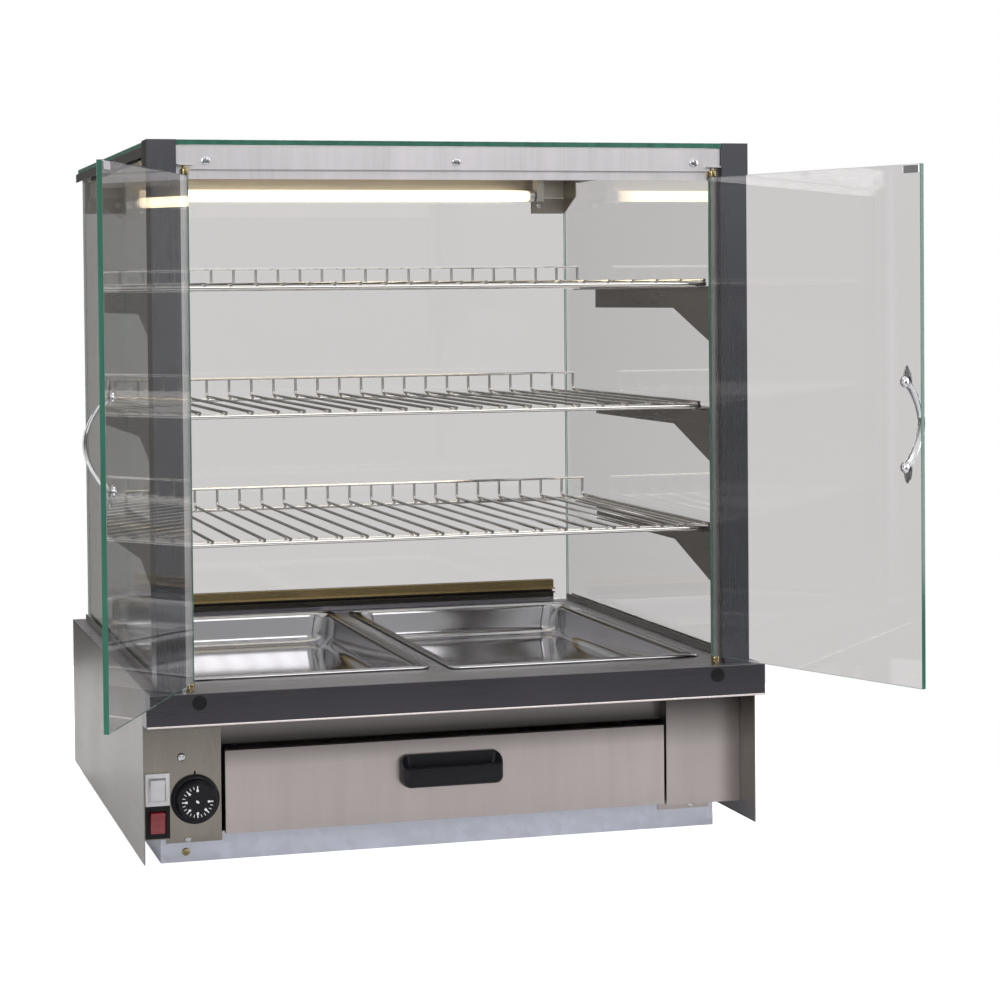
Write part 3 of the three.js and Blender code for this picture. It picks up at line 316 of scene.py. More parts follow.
@dataclass(frozen=True)
class BandedRail:
    """The grooved rear rail in painted reflection: warm above its groove, dark below, pale at its foot."""

    name: str
    upper_reflection: Colour = (0.36, 0.27, 0.125)
    lower_reflection: Colour = (0.035, 0.035, 0.037)
    foot: Colour = (0.30, 0.30, 0.34)
    foot_top: float = 0.2222
    groove: float = 0.2335

    def make(self) -> bpy.types.Material:
        """Builds the material."""
        material, bench, surface = open_finish(self.name)
        place = bench.add("ShaderNodeTexCoord").outputs["Object"]
        level = bench.add("ShaderNodeSeparateXYZ", {0: place}).outputs["Z"]
        grain = bench.noise((8.0, 900.0, 900.0), 2.0)
        cloud = bench.noise((4.0, 9.0, 9.0), 2.0, 5.5)
        # Painted reflection: the foot, lower and upper bands are one steel, toned by height as reflected light and
        # dark.
        base = bench.blend(bench.step(level, self.foot_top, self.foot_top + 0.0004), rgba(self.foot),
                           rgba(self.lower_reflection))
        banded = bench.blend(bench.step(level, self.groove, self.groove + 0.0004), base, rgba(self.upper_reflection))
        lined = bench.blend(bench.spread(grain, 0.0, 0.25), banded, (0.02, 0.018, 0.015, 1.0))
        wear_and_painted_light = bench.blend(bench.spread(cloud, 0.0, 0.15), lined, (0.45, 0.38, 0.25, 1.0))
        bench.tree.links.new(wear_and_painted_light, surface.inputs["Base Color"])
        bench.tree.links.new(bench.spread(grain, 0.2, 0.32), surface.inputs["Roughness"])
        bump = bench.add("ShaderNodeBump", {"Height": grain, "Strength": 0.05, "Distance": 0.0003})
        bench.tree.links.new(bump.outputs[0], surface.inputs["Normal"])
        surface.inputs["Metallic"].default_value = 1.0
        return material


@dataclass(frozen=True)
class BrightMetal:
    """Chrome, drawn wire, pressed or turned metal: shiny, with faint handling marks."""

    name: str
    colour: Colour
    roughness: float = 0.08
    marks: float = 60.0
    spread: float = 0.10
    ripple: float = 0.04
    tarnish: Colour = (0.42, 0.36, 0.28)
    tarnish_share: float = 0.12

    def make(self) -> bpy.types.Material:
        """Builds the material."""
        material, bench, surface = open_finish(self.name)
        smear = bench.noise((self.marks,) * 3, 4.0)
        fine = bench.noise((self.marks * 14,) * 3, 2.0, 3.1)
        cloud = bench.noise((7.0, 7.0, 7.0), 2.0, 8.2)
        body = bench.blend(smear, shade(self.colour, 0.92), shade(self.colour, 1.06))
        share = bench.maths("MULTIPLY", bench.step(cloud, 0.45, 0.8), self.tarnish_share)
        bench.tree.links.new(bench.blend(share, body, rgba(self.tarnish)), surface.inputs["Base Color"])
        rough = bench.maths("ADD", bench.spread(smear, 0.0, self.spread), self.roughness)
        bench.tree.links.new(rough, surface.inputs["Roughness"])
        inputs = {"Height": fine, "Strength": self.ripple, "Distance": 0.0003}
        bump = bench.add("ShaderNodeBump", inputs)
        bench.tree.links.new(bump.outputs[0], surface.inputs["Normal"])
        surface.inputs["Metallic"].default_value = 1.0
        return material


@dataclass(frozen=True)
class ZincSheet:
    """Galvanised sheet with crystal spangle."""

    name: str
    colour: Colour
    spangle: float = 90.0

    def make(self) -> bpy.types.Material:
        """Builds the material."""
        material, bench, surface = open_finish(self.name)
        place = bench.add("ShaderNodeTexCoord").outputs["Object"]
        cells = bench.add("ShaderNodeTexVoronoi", {"Vector": place, "Scale": self.spangle})
        tone = bench.add("ShaderNodeSeparateColor", {0: cells.outputs["Color"]}).outputs[0]
        cloud = bench.noise((9.0, 9.0, 9.0), 3.0, 2.2)
        flake = bench.blend(tone, shade(self.colour, 0.93), shade(self.colour, 1.06))
        dulled = bench.blend(bench.spread(cloud, 0.0, 0.3), flake, shade(self.colour, 0.92))
        bench.tree.links.new(dulled, surface.inputs["Base Color"])
        rough = bench.maths("ADD", bench.spread(tone, 0.32, 0.46), bench.spread(cloud, 0.0, 0.1))
        bench.tree.links.new(rough, surface.inputs["Roughness"])
        bump = bench.add("ShaderNodeBump", {"Height": tone, "Strength": 0.06, "Distance": 0.0003})
        bench.tree.links.new(bump.outputs[0], surface.inputs["Normal"])
        surface.inputs["Metallic"].default_value = 0.9
        return material


@dataclass(frozen=True)
class MouldedPlastic:
    """Moulded plastic with a fine skin texture and light polish wear."""

    name: str
    colour: Colour
    roughness: float = 0.35
    texture: float = 1400.0
    depth: float = 0.12
    specular: float = 0.5

    def make(self) -> bpy.types.Material:
        """Builds the material."""
        material, bench, surface = open_finish(self.name)
        skin = bench.noise((self.texture,) * 3, 2.0)
        smear = bench.noise((35.0, 35.0, 35.0), 3.0, 4.4)
        body = bench.blend(smear, shade(self.colour, 0.85), shade(self.colour, 1.2))
        bench.tree.links.new(body, surface.inputs["Base Color"])
        rough = bench.maths("ADD", bench.spread(smear, -0.08, 0.1), self.roughness)
        bench.tree.links.new(rough, surface.inputs["Roughness"])
        bump = bench.add("ShaderNodeBump", {"Height": skin, "Strength": self.depth, "Distance": 0.0002})
        bench.tree.links.new(bump.outputs[0], surface.inputs["Normal"])
        surface.inputs["Specular IOR Level"].default_value = self.specular
        return material


@dataclass(frozen=True)
class PaneGlass:
    """Float glass: nearly clear through its faces, deep green at its cut edges."""

    name: str
    face: Vector
    tint: Colour = (0.965, 0.975, 0.97)
    edge: Colour = (0.05, 0.19, 0.135)
    haze: float = 0.0

    def make(self) -> bpy.types.Material:
        """Builds the material."""
        material, bench, surface = open_finish(self.name)
        normal = bench.add("ShaderNodeTexCoord").outputs["Normal"]
        way = {0: normal, 1: tuple(self.face)}
        facing = bench.add("ShaderNodeVectorMath", way, operation="DOT_PRODUCT").outputs["Value"]
        cut = bench.step(bench.maths("ABSOLUTE", facing), 0.93, 0.86)
        film = bench.noise((11.0, 11.0, 11.0), 3.0, 6.1)
        clear = bench.blend(film, shade(self.tint, 0.985), shade(self.tint, 1.0))
        streak = bench.noise((90.0, 90.0, 9.0), 2.0, 2.9)
        green = bench.blend(streak, shade(self.edge, 0.7), shade(self.edge, 1.6))
        bench.tree.links.new(bench.blend(cut, clear, green), surface.inputs["Base Color"])
        rough = bench.maths("ADD", bench.maths("MULTIPLY", cut, 0.12), bench.spread(film, 0.0, self.haze))
        bench.tree.links.new(rough, surface.inputs["Roughness"])
        bench.tree.links.new(bench.spread(cut, 1.0, 0.25), surface.inputs["Transmission Weight"])
        surface.inputs["IOR"].default_value = 1.45
        return material


@dataclass(frozen=True)
class RedLens:
    """The translucent red rocker."""

    name: str
    colour: Colour = (0.26, 0.03, 0.045)

    def make(self) -> bpy.types.Material:
        """Builds the material."""
        material, bench, surface = open_finish(self.name)
        cloud = bench.noise((260.0, 260.0, 260.0), 2.0)
        body = bench.blend(cloud, shade(self.colour, 0.6), shade(self.colour, 1.5))
        bench.tree.links.new(body, surface.inputs["Base Color"])
        bench.tree.links.new(bench.spread(cloud, 0.12, 0.24), surface.inputs["Roughness"])
        surface.inputs["Transmission Weight"].default_value = 0.25
        surface.inputs["Coat Weight"].default_value = 0.6
        surface.inputs["Emission Color"].default_value = (0.9, 0.04, 0.03, 1.0)
        surface.inputs["Emission Strength"].default_value = 0.05
        return material


@dataclass(frozen=True)
class LampGlow:
    """The lit opal tube, a little dimmer near its ends."""

    name: str
    half_length: float
    colour: Colour = (1.0, 0.86, 0.55)
    strength: float = 3.2

    def make(self) -> bpy.types.Material:
        """Builds the material."""
        material, bench, surface = open_finish(self.name)
        place = bench.add("ShaderNodeTexCoord").outputs["Object"]
        across = bench.add("ShaderNodeSeparateXYZ", {0: place}).outputs["X"]
        end = bench.step(bench.maths("ABSOLUTE", across), self.half_length, self.half_length - 0.035)
        mottle = bench.noise((25.0, 60.0, 60.0), 2.0)
        lit = bench.maths("MULTIPLY", end, bench.spread(mottle, 0.92, 1.0))
        glow = bench.blend(end, (0.75, 0.45, 0.2, 1.0), rgba(self.colour))
        bench.tree.links.new(glow, surface.inputs["Emission Color"])
        bench.tree.links.new(bench.spread(lit, 0.6, self.strength), surface.inputs["Emission Strength"])
        base = bench.blend(mottle, (0.86, 0.84, 0.8, 1.0), (0.93, 0.92, 0.88, 1.0))
        bench.tree.links.new(base, surface.inputs["Base Color"])
        surface.inputs["Roughness"].default_value = 0.2
        return material


OLIVE = (0.285, 0.262, 0.228)


class FinishRack:
    """Every finish of the case, each made once."""

    def __init__(self) -> None:
        """Builds the materials."""
        specs = [
            BrushedSteel("panel_steel_upright", (0.53, 0.475, 0.46), Axis.Z, contrast=0.05),
            BrushedSteel("drawer_steel", (0.53, 0.475, 0.46), Axis.Z, contrast=0.04, shaded=(0.112, 0.137),
                         shaded_tone=0.5),
            BrushedSteel("fascia_steel", (0.33, 0.30, 0.295), Axis.X, contrast=0.06, shaded=(0.168, 0.143),
                         shaded_tone=0.28),
            BrushedSteel("right_box_steel", (0.50, 0.45, 0.435), Axis.Z, contrast=0.04, shaded=(0.105, 0.165),
                         shaded_tone=0.2),
            BrushedSteel("panel_steel_deep", (0.275, 0.255, 0.24), Axis.Y, contrast=0.04),
            BrushedSteel("box_steel", OLIVE, Axis.Z, roughness=0.24, depth=0.02, contrast=0.03,
                         shaded=(0.160, 0.178), shaded_tone=0.4),
            DeckSteel("rail_steel_level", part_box("deck_top")[1].z),
            PostSteel("post_steel"),
            BrushedSteel("beam_steel", (0.3, 0.285, 0.28), Axis.Y, roughness=0.25),
            BrushedSteel("header_steel", (0.92, 0.88, 0.91), Axis.Z, roughness=0.32, fineness=600.0, depth=0.2,
                         contrast=0.16),
            BandedRail("channel_steel"),
            BrushedSteel("housing_steel", (0.62, 0.58, 0.52), Axis.X, roughness=0.3),
            BrushedSteel("plate_steel", (0.36, 0.33, 0.29), Axis.Z, roughness=0.3),
            # The hem's near white tone is a painted highlight; the hem is part of the dark rail's own steel.
            BrushedSteel("hem_highlight_steel", (0.86, 0.78, 0.76), Axis.X, roughness=0.24),
            ZincSheet("zinc_sheet", (0.70, 0.725, 0.815)),
            BrightMetal("pan_steel", (0.48, 0.475, 0.49), 0.07, 18.0, 0.06, 0.03),
            BrightMetal("chrome_plate", (0.84, 0.84, 0.86), 0.04, 40.0, 0.05, 0.02),
            BrightMetal("wire_chrome", (0.80, 0.77, 0.74), 0.08, 90.0, 0.08, 0.04),
            BrightMetal("turned_brass", (0.42, 0.34, 0.17), 0.18, 200.0, 0.12, 0.08),
            BrightMetal("screw_steel", (0.72, 0.72, 0.74), 0.12, 300.0, 0.12, 0.06),
            BrightMetal("plated_case", (0.62, 0.63, 0.65), 0.3, 30.0, 0.12, 0.05),
            BrightMetal("element_steel", (0.32, 0.30, 0.29), 0.35, 50.0, 0.12, 0.1),
            MouldedPlastic("black_plastic", (0.009, 0.009, 0.012), 0.36, specular=0.22),
            MouldedPlastic("white_plastic", (0.88, 0.86, 0.91), 0.3, 900.0, 0.05),
            MouldedPlastic("holder_plastic", (0.32, 0.30, 0.26), 0.4, 900.0, 0.05),
            MouldedPlastic("mark_paint", (0.85, 0.85, 0.85), 0.5, 600.0, 0.03),
            RedLens("red_lens"),
        ]
        self.made = {spec.name: spec.make() for spec in specs}

    def __getitem__(self, name: str) -> bpy.types.Material:
        """The material of that name."""
        return self.made[name]


# ---------------------------------------------------------------- mesh helpers


def clean_mesh(mesh: bpy.types.Mesh, smooth_angle: float = 35.0) -> None:
    """Merges doubles, turns every face outwards and shades by angle.

    Args:
        mesh: the closed mesh to clean.
        smooth_angle: edges sharper than this many degrees stay crisp.
    """
    work = bmesh.new()
    work.from_mesh(mesh)
    bmesh.ops.remove_doubles(work, verts=work.verts, dist=1e-6)
    bmesh.ops.recalc_face_normals(work, faces=work.faces)
    limit = math.radians(smooth_angle)
    for face in work.faces:
        face.smooth = True
    for edge in work.edges:
        edge.smooth = len(edge.link_faces) == 2 and edge.calc_face_angle(0.0) < limit
    work.to_mesh(mesh)
    work.free()


def piece_from(name: str, points: Sequence[Vector], faces: Sequence[Sequence[int]],
               smooth_angle: float = 35.0) -> bpy.types.Object:
    """Makes an object of the scene from points and faces, cleaned and facing out."""
    mesh = bpy.data.meshes.new(name)
    mesh.from_pydata([tuple(p) for p in points], [], [tuple(f) for f in faces])
    clean_mesh(mesh, smooth_angle)
    piece = bpy.data.objects.new(name, mesh)
    bpy.context.scene.collection.objects.link(piece)
    return piece


def loft(name: str, rings: Sequence[Ring], caps: bool = True, loop: bool = False,
         smooth_angle: float = 35.0) -> bpy.types.Object:
    """Skins a run of rings that have the same number of points.

    Args:
        name: the piece's name.
        rings: the rings, in order.
        caps: closes the two ends with a face each.
        loop: joins the last ring to the first.
        smooth_angle: edges sharper than this many degrees stay crisp.

    Returns:
        The new object.
    """
    count = len(rings[0])
    faces: list[list[int]] = []
    for i in range(len(rings) if loop else len(rings) - 1):
        near, far = i * count, ((i + 1) % len(rings)) * count
        for j in range(count):
            k = (j + 1) % count
            faces.append([near + j, near + k, far + k, far + j])
    if caps and not loop:
        faces.append(list(range(count)))
        faces.append([(len(rings) - 1) * count + j for j in range(count)])
    return piece_from(name, [p for ring in rings for p in ring], faces, smooth_angle)


def rounded_ring(centre: Sequence[float], size: Sequence[float], radius: float, level: float,
                 steps: int = 8) -> Ring:
    """A level rectangle with round corners.

    Args:
        centre: its middle, as x and y.
        size: its width and length.
        radius: the corner radius.
        level: its height.
        steps: how many points each corner has, less one.

    Returns:
        The ring's points, anticlockwise from above.
    """
    half = [size[0] / 2 - radius, size[1] / 2 - radius]
    ring = []
    for quarter, (sx, sy) in enumerate(((1, 1), (-1, 1), (-1, -1), (1, -1))):
        for step in range(steps + 1):
            angle = math.pi / 2 * (quarter + step / steps)
            x = centre[0] + sx * half[0] + radius * math.cos(angle)
            ring.append(Vector((x, centre[1] + sy * half[1] + radius * math.sin(angle), level)))
    return ring


def turned(name: str, profile: Sequence[tuple[float, float]], centre: Vector, axis: Axis, way: int = 1,
           sides: int = 48) -> bpy.types.Object:
    """Turns a profile round a line, as on a lathe.

    Args:
        name: the piece's name.
        profile: radius and height pairs from one end of the axis to the other.
        centre: where the axis starts.
        axis: the line's direction.
        way: +1 or -1, the sense in which heights run along it.
        sides: how many flats the round has.

    Returns:
        The new object.
    """
    turn = {Axis.Z: Matrix.Identity(3), Axis.X: Matrix.Rotation(math.pi / 2, 3, "Y"),
            Axis.Y: Matrix.Rotation(-math.pi / 2, 3, "X")}[axis]
    rings = []
    for radius, height in profile:
        around = [2 * math.pi * i / sides for i in range(sides)]
        radius = max(radius, 1e-5)
        rings.append([centre + turn @ Vector((radius * math.cos(a), radius * math.sin(a),
                                              way * height)) for a in around])
    return loft(name, rings)


def swept(name: str, path: Sequence[Vector], sections: Sequence[Ring], side: Vector) -> bpy.types.Object:
    """Skins flat sections that stand across a path.

    Args:
        name: the piece's name.
        path: the points the sections are centred on.
        sections: for each point, its outline as (across, out) in a plane.
        side: the direction of `across`.

    Returns:
        The new object.
    """
    rings = []
    for i, (point, section) in enumerate(zip(path, sections)):
        way = (path[min(i + 1, len(path) - 1)] - path[max(i - 1, 0)]).normalized()
        out = way.cross(side).normalized()
        rings.append([point + side * p.x + out * p.y for p in section])
    return loft(name, rings)


def bevelled(piece: bpy.types.Object, width: float, segments: int = 2, angle: float = 30.0) -> None:
    """Softens a piece's edges with a live bevel."""
    bevel = piece.modifiers.new("edge", "BEVEL")
    bevel.width, bevel.segments = width, segments
    bevel.limit_method, bevel.angle_limit = "ANGLE", math.radians(angle)
    bevel.harden_normals = False
    bevel.use_clamp_overlap = True


def baked(piece: bpy.types.Object) -> bpy.types.Object:
    """Turns a piece and its modifiers into a plain mesh and returns the piece."""
    graph = bpy.context.evaluated_depsgraph_get()
    mesh = bpy.data.meshes.new_from_object(piece.evaluated_get(graph))
    piece.modifiers.clear()
    old, piece.data = piece.data, mesh
    bpy.data.meshes.remove(old)
    return piece


def carved(body: bpy.types.Object, tool: bpy.types.Object) -> bpy.types.Object:
    """Cuts a tool out of a body, removes the tool and returns the body."""
    cut = body.modifiers.new("cut", "BOOLEAN")
    cut.operation, cut.solver, cut.object = "DIFFERENCE", "EXACT", tool
    baked(body)
    bpy.data.objects.remove(tool)
    clean_mesh(body.data)
    return body


def merged(name: str, pieces: Iterable[bpy.types.Object]) -> bpy.types.Object:
    """Joins plain-mesh pieces into one new object, and removes them."""
    work = bmesh.new()
    materials: list[bpy.types.Material] = []
    for piece in list(pieces):
        start = len(work.faces)
        work.from_mesh(piece.data)
        work.faces.ensure_lookup_table()
        for material in piece.data.materials:
            if material not in materials:
                materials.append(material)
        slots = [materials.index(m) for m in piece.data.materials] or [0]
        for face in list(work.faces)[start:]:
            face.material_index = slots[min(face.material_index, len(slots) - 1)]
        bpy.data.objects.remove(piece)
    mesh = bpy.data.meshes.new(name)
    work.to_mesh(mesh)
    work.free()
    for material in materials:
        mesh.materials.append(material)
    whole = bpy.data.objects.new(name, mesh)
    bpy.context.scene.collection.objects.link(whole)
    return whole


def seat(piece: bpy.types.Object, body: str, slot: str, finish: bpy.types.Material | None,
         *nodes: str) -> bpy.types.Object:
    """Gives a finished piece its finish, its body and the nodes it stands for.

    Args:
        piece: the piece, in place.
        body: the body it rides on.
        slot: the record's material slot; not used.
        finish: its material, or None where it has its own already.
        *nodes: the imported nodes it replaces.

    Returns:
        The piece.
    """
    if finish is not None:
        piece.data.materials.clear()
        piece.data.materials.append(finish)
    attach(piece, body)
    if nodes:
        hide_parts(*nodes)
    return piece


def span(node: str) -> tuple[Vector, Vector]:
    """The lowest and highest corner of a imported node."""
    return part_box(node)


def middle(node: str) -> Vector:
    """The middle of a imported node's box."""
    low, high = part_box(node)
    return (low + high) / 2


# -------------------------------------------------------------- geometry rules


class RuleTree:
    """A Geometry Nodes tree with named inputs, ready to be wired."""

    def __init__(self, name: str, numbers: Sequence[tuple[str, str]]) -> None:
        """Makes the tree and its sockets.

        Args:
            name: the tree's name.
            numbers: the name and socket type of each input after Geometry.
        """
        self.tree = bpy.data.node_groups.new(name, "GeometryNodeTree")
        self.bench = Bench(self.tree)
        face = self.tree.interface
        face.new_socket("Geometry", in_out="INPUT", socket_type="NodeSocketGeometry")
        self.keys = {n: face.new_socket(n, in_out="INPUT", socket_type=kind).identifier for n, kind in numbers}
        face.new_socket("Geometry", in_out="OUTPUT", socket_type="NodeSocketGeometry")
        self.given = self.bench.add("NodeGroupInput").outputs

    def close(self, geometry: bpy.types.NodeSocket) -> None:
        """Ends the tree in Realize Instances and Set Material."""
        real = self.bench.add("GeometryNodeRealizeInstances", {0: geometry}).outputs[0]
        inputs = {"Geometry": real, "Material": self.given["Material"]}
        painted = self.bench.add("GeometryNodeSetMaterial", inputs).outputs[0]
        self.bench.add("NodeGroupOutput", {0: painted})

    def run(self, piece: bpy.types.Object, values: dict[str, object]) -> bpy.types.Object:
        """Runs the tree on a piece and keeps the result as a plain mesh.

        Args:
            piece: the object whose mesh goes in.
            values: the value of each named input.

        Returns:
            The same object with the made mesh.
        """
        rule = piece.modifiers.new("rule", "NODES")
        rule.node_group = self.tree
        for name, value in values.items():
            rule[self.keys[name]] = value
        baked(piece)
        clean_mesh(piece.data)
        return piece


class SweptRow(RuleTree):
    """Sweeps a round bar along a path and repeats it in an even row."""

    def __init__(self) -> None:
        """Wires path, section, row and ends."""
        kinds = [("Radius", "NodeSocketFloat"), ("Sides", "NodeSocketInt"), ("Count", "NodeSocketInt"),
                 ("Pitch", "NodeSocketVector"), ("Material", "NodeSocketMaterial")]
        super().__init__("swept_row", kinds)
        bench, given = self.bench, self.given
        path = bench.add("GeometryNodeMeshToCurve", {0: given["Geometry"]}).outputs[0]
        ring = bench.add("GeometryNodeCurvePrimitiveCircle",
                         {"Resolution": given["Sides"], "Radius": given["Radius"]})
        inputs = {"Curve": path, "Profile Curve": ring.outputs[0], "Fill Caps": True}
        rod = bench.add("GeometryNodeCurveToMesh", inputs).outputs[0]
        row = bench.add("GeometryNodeMeshLine", {"Count": given["Count"], "Offset": given["Pitch"]},
                        mode="OFFSET")
        placed = bench.add("GeometryNodeInstanceOnPoints", {"Points": row.outputs[0], "Instance": rod})
        self.close(placed.outputs[0])

    def make(self, name: str, path: Sequence[Vector], radius: float, finish: bpy.types.Material,
             count: int = 1, pitch: Sequence[float] = (0, 0, 0), sides: int = 12) -> bpy.types.Object:
        """Makes a row of bars.

        Args:
            name: the piece's name.
            path: the first bar's centre line.
            radius: the bar's radius.
            finish: its material.
            count: how many bars.
            pitch: the step from one bar to the next.
            sides: how many flats the round has.

        Returns:
            The row as one plain mesh.
        """
        mesh = bpy.data.meshes.new(name)
        mesh.from_pydata([tuple(p) for p in path], [(i, i + 1) for i in range(len(path) - 1)], [])
        piece = bpy.data.objects.new(name, mesh)
        bpy.context.scene.collection.objects.link(piece)
        values = {"Radius": radius, "Sides": sides, "Count": count, "Pitch": tuple(pitch), "Material": finish}
        return self.run(piece, values)


class StampedPoints(RuleTree):
    """Puts a pattern piece on each given point, turned and sized by the point."""

    def __init__(self) -> None:
        """Wires the pattern, the turn and the size."""
        kinds = [("Pattern", "NodeSocketObject"), ("Material", "NodeSocketMaterial")]
        super().__init__("stamped_points", kinds)
        bench, given = self.bench, self.given
        pattern = bench.add("GeometryNodeObjectInfo", {"Object": given["Pattern"]}).outputs["Geometry"]
        turn = bench.add("GeometryNodeInputNamedAttribute", {"Name": "turn"}, data_type="FLOAT_VECTOR")
        size = bench.add("GeometryNodeInputNamedAttribute", {"Name": "size"}, data_type="FLOAT")
        angle = bench.add("FunctionNodeEulerToRotation", {0: turn.outputs["Attribute"]}).outputs[0]
        inputs = {"Points": given["Geometry"], "Instance": pattern, "Rotation": angle}
        inputs["Scale"] = bench.add("ShaderNodeCombineXYZ",
                                    {i: size.outputs["Attribute"] for i in range(3)}).outputs[0]
        self.close(bench.add("GeometryNodeInstanceOnPoints", inputs).outputs[0])

    def make(self, name: str, pattern: bpy.types.Object, places: Sequence[tuple[Vector, Vector, float]],
             finish: bpy.types.Material) -> bpy.types.Object:
        """Stamps the pattern.

        Args:
            name: the piece's name.
            pattern: the object to repeat, which faces +Z about the origin.
            places: a point, a turn in radians and a size for each copy.
            finish: its material.

        Returns:
            All the copies as one plain mesh.
        """
        mesh = bpy.data.meshes.new(name)
        mesh.from_pydata([tuple(p) for p, _, _ in places], [], [])
        mesh.attributes.new("turn", "FLOAT_VECTOR", "POINT")
        mesh.attributes.new("size", "FLOAT", "POINT")
        mesh.attributes["turn"].data.foreach_set("vector", [a for _, angles, _ in places for a in angles])
        mesh.attributes["size"].data.foreach_set("value", [scale for _, _, scale in places])
        piece = bpy.data.objects.new(name, mesh)
        bpy.context.scene.collection.objects.link(piece)
        return self.run(piece, {"Pattern": pattern, "Material": finish})


class Rules:
    """The geometry rules, each wired once."""

    def __init__(self) -> None:
        """Wires the trees."""
        self.row = SweptRow()
        self.stamp = StampedPoints()


# ---------------------------------------------------------------------- studio


@dataclass
class Studio:
    """A pale floor, soft boxes, a plain surround and the camera."""

    floor_size: tuple[float, float] = (2.0, 2.4)
    floor_shift: tuple[float, float] = (-0.15, 0.1)
    camera_place: tuple[float, float, float] = (-0.7832, -2.9668, 0.666)
    yaw: float = 0.255
    pitch: float = -0.025
    roll: float = -0.010
    lens: float = 84.15
    sensor: float = 36.0
    shift: tuple[float, float] = (0.1167, -0.1435)
    backdrop_grey: float = 0.66

    def build(self) -> None:
        """Builds the floor, the surround, the lights and the camera."""
        bpy.context.scene.view_settings.view_transform = "Standard"
        self.floor()
        self.surround()
        self.soft_box("left_box", (-2.5, -1.5, 0.95), (0.8, 1.9), 22.0)
        self.soft_box("right_box", (2.7, -1.5, 0.95), (0.7, 1.9), 17.0)
        self.soft_box("front_box", (1.0, -3.4, 2.1), (1.6, 1.0), 12.0)
        self.soft_box("rear_strip", (0.95, 2.6, 0.75), (0.22, 1.3), 9.0)
        self.soft_box("top_box", (0.2, 0.9, 2.6), (1.8, 1.4), 20.0)
        self.camera()

    def floor(self) -> None:
        """Lays the pale floor under the case."""
        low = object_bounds()[0].z
        size, shift = self.floor_size, self.floor_shift
        top = rounded_ring(shift, size, 0.3, low - 0.0005, 12)
        under = rounded_ring(shift, size, 0.3, low - 0.004, 12)
        floor = loft("studio_floor", [under, top])
        material, bench, surface = open_finish("pale_floor")
        grain = bench.noise((40.0, 40.0, 40.0), 3.0)
        bench.tree.links.new(bench.blend(grain, (0.78, 0.78, 0.79, 1), (0.82, 0.82, 0.83, 1)),
                             surface.inputs["Base Color"])
        surface.inputs["Roughness"].default_value = 0.8
        surface.inputs["Emission Color"].default_value = (1.0, 1.0, 1.0, 1.0)
        seen = bench.add("ShaderNodeLightPath").outputs["Is Camera Ray"]
        bench.tree.links.new(bench.spread(seen, 0.05, 0.85), surface.inputs["Emission Strength"])
        floor.data.materials.append(material)
        floor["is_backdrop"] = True

    def surround(self) -> None:
        """White to the camera, grey through glass, and a soft gradient for light."""
        world = bpy.data.worlds.new("plain_surround")
        bpy.context.scene.world = world
        world.use_nodes = True
        bench = Bench(world.node_tree)
        ray = bench.add("ShaderNodeLightPath").outputs
        way = bench.add("ShaderNodeTexCoord").outputs["Generated"]
        parts = bench.add("ShaderNodeSeparateXYZ", {0: way}).outputs
        height = bench.spread(bench.step(parts["Z"], -1.0, 1.0), 0.0, 1.0)
        ramp = bench.add("ShaderNodeValToRGB", {0: height})
        stops = [(0.0, 0.22), (0.44, 0.14), (0.50, 0.26), (0.56, 0.50), (0.72, 0.85), (1.0, 1.0)]
        ramp.color_ramp.elements.remove(ramp.color_ramp.elements[1])
        ramp.color_ramp.elements[0].position = stops[0][0]
        ramp.color_ramp.elements[0].color = rgba((stops[0][1],) * 3)
        for place, level in stops[1:]:
            ramp.color_ramp.elements.new(place).color = rgba((level,) * 3)
        behind = bench.step(parts["Y"], -0.3, 0.8)
        low = bench.step(parts["Z"], 0.55, 0.2)
        soft = bench.blend(bench.maths("MULTIPLY", behind, low), ramp.outputs[0], (0.12, 0.115, 0.11, 1.0))
        grey = rgba((self.backdrop_grey, self.backdrop_grey * 0.965, self.backdrop_grey * 0.965))
        direct = bench.maths("LESS_THAN", bench.maths("ADD", ray["Glossy Depth"], ray["Diffuse Depth"]), 0.5)
        through = bench.maths("MULTIPLY", ray["Is Transmission Ray"], direct)
        seen = bench.blend(through, soft, grey)
        final = bench.blend(ray["Is Camera Ray"], seen, (1.0, 1.0, 1.0, 1.0))
        glow = bench.add("ShaderNodeBackground", {"Color": final, "Strength": 1.0})
        bench.add("ShaderNodeOutputWorld", {"Surface": glow.outputs[0]})

    def soft_box(self, name: str, place: Sequence[float], size: Sequence[float], power: float) -> None:
        """Hangs an oblong area light that points at the middle of the case."""
        light = bpy.data.lights.new(name, "AREA")
        light.shape, light.energy = "RECTANGLE", power
        light.size, light.size_y = size
        holder = bpy.data.objects.new(name, light)
        aim = Vector((0.0, 0.0, 0.4)) - Vector(place)
        holder.matrix_world = Matrix.Translation(place) @ aim.to_track_quat("-Z", "Y").to_matrix().to_4x4()
        holder.visible_camera = False
        holder.visible_transmission = False
        bpy.context.scene.collection.objects.link(holder)

    def camera(self) -> None:
        """Sets the camera at the viewing angle."""
        lens = bpy.data.cameras.new("view_camera")
        lens.lens, lens.sensor_width = self.lens, self.sensor
        lens.shift_x, lens.shift_y = self.shift
        lens.clip_start, lens.clip_end = 0.05, 50.0
        holder = bpy.data.objects.new("view_camera", lens)
        forward = Vector((math.sin(self.yaw) * math.cos(self.pitch), math.cos(self.yaw) * math.cos(self.pitch),
                          math.sin(self.pitch)))
        right = Vector((math.cos(self.yaw), -math.sin(self.yaw), 0.0))
        up = right.cross(forward)
        turned_right = right * math.cos(self.roll) + up * math.sin(self.roll)
        turned_up = up * math.cos(self.roll) - right * math.sin(self.roll)
        turn = Matrix((turned_right, turned_up, -forward)).transposed().to_4x4()
        holder.matrix_world = Matrix.Translation(self.camera_place) @ turn
        bpy.context.scene.collection.objects.link(holder)
        bpy.context.scene.camera = holder


# ------------------------------------------------------------- carried-over CAD


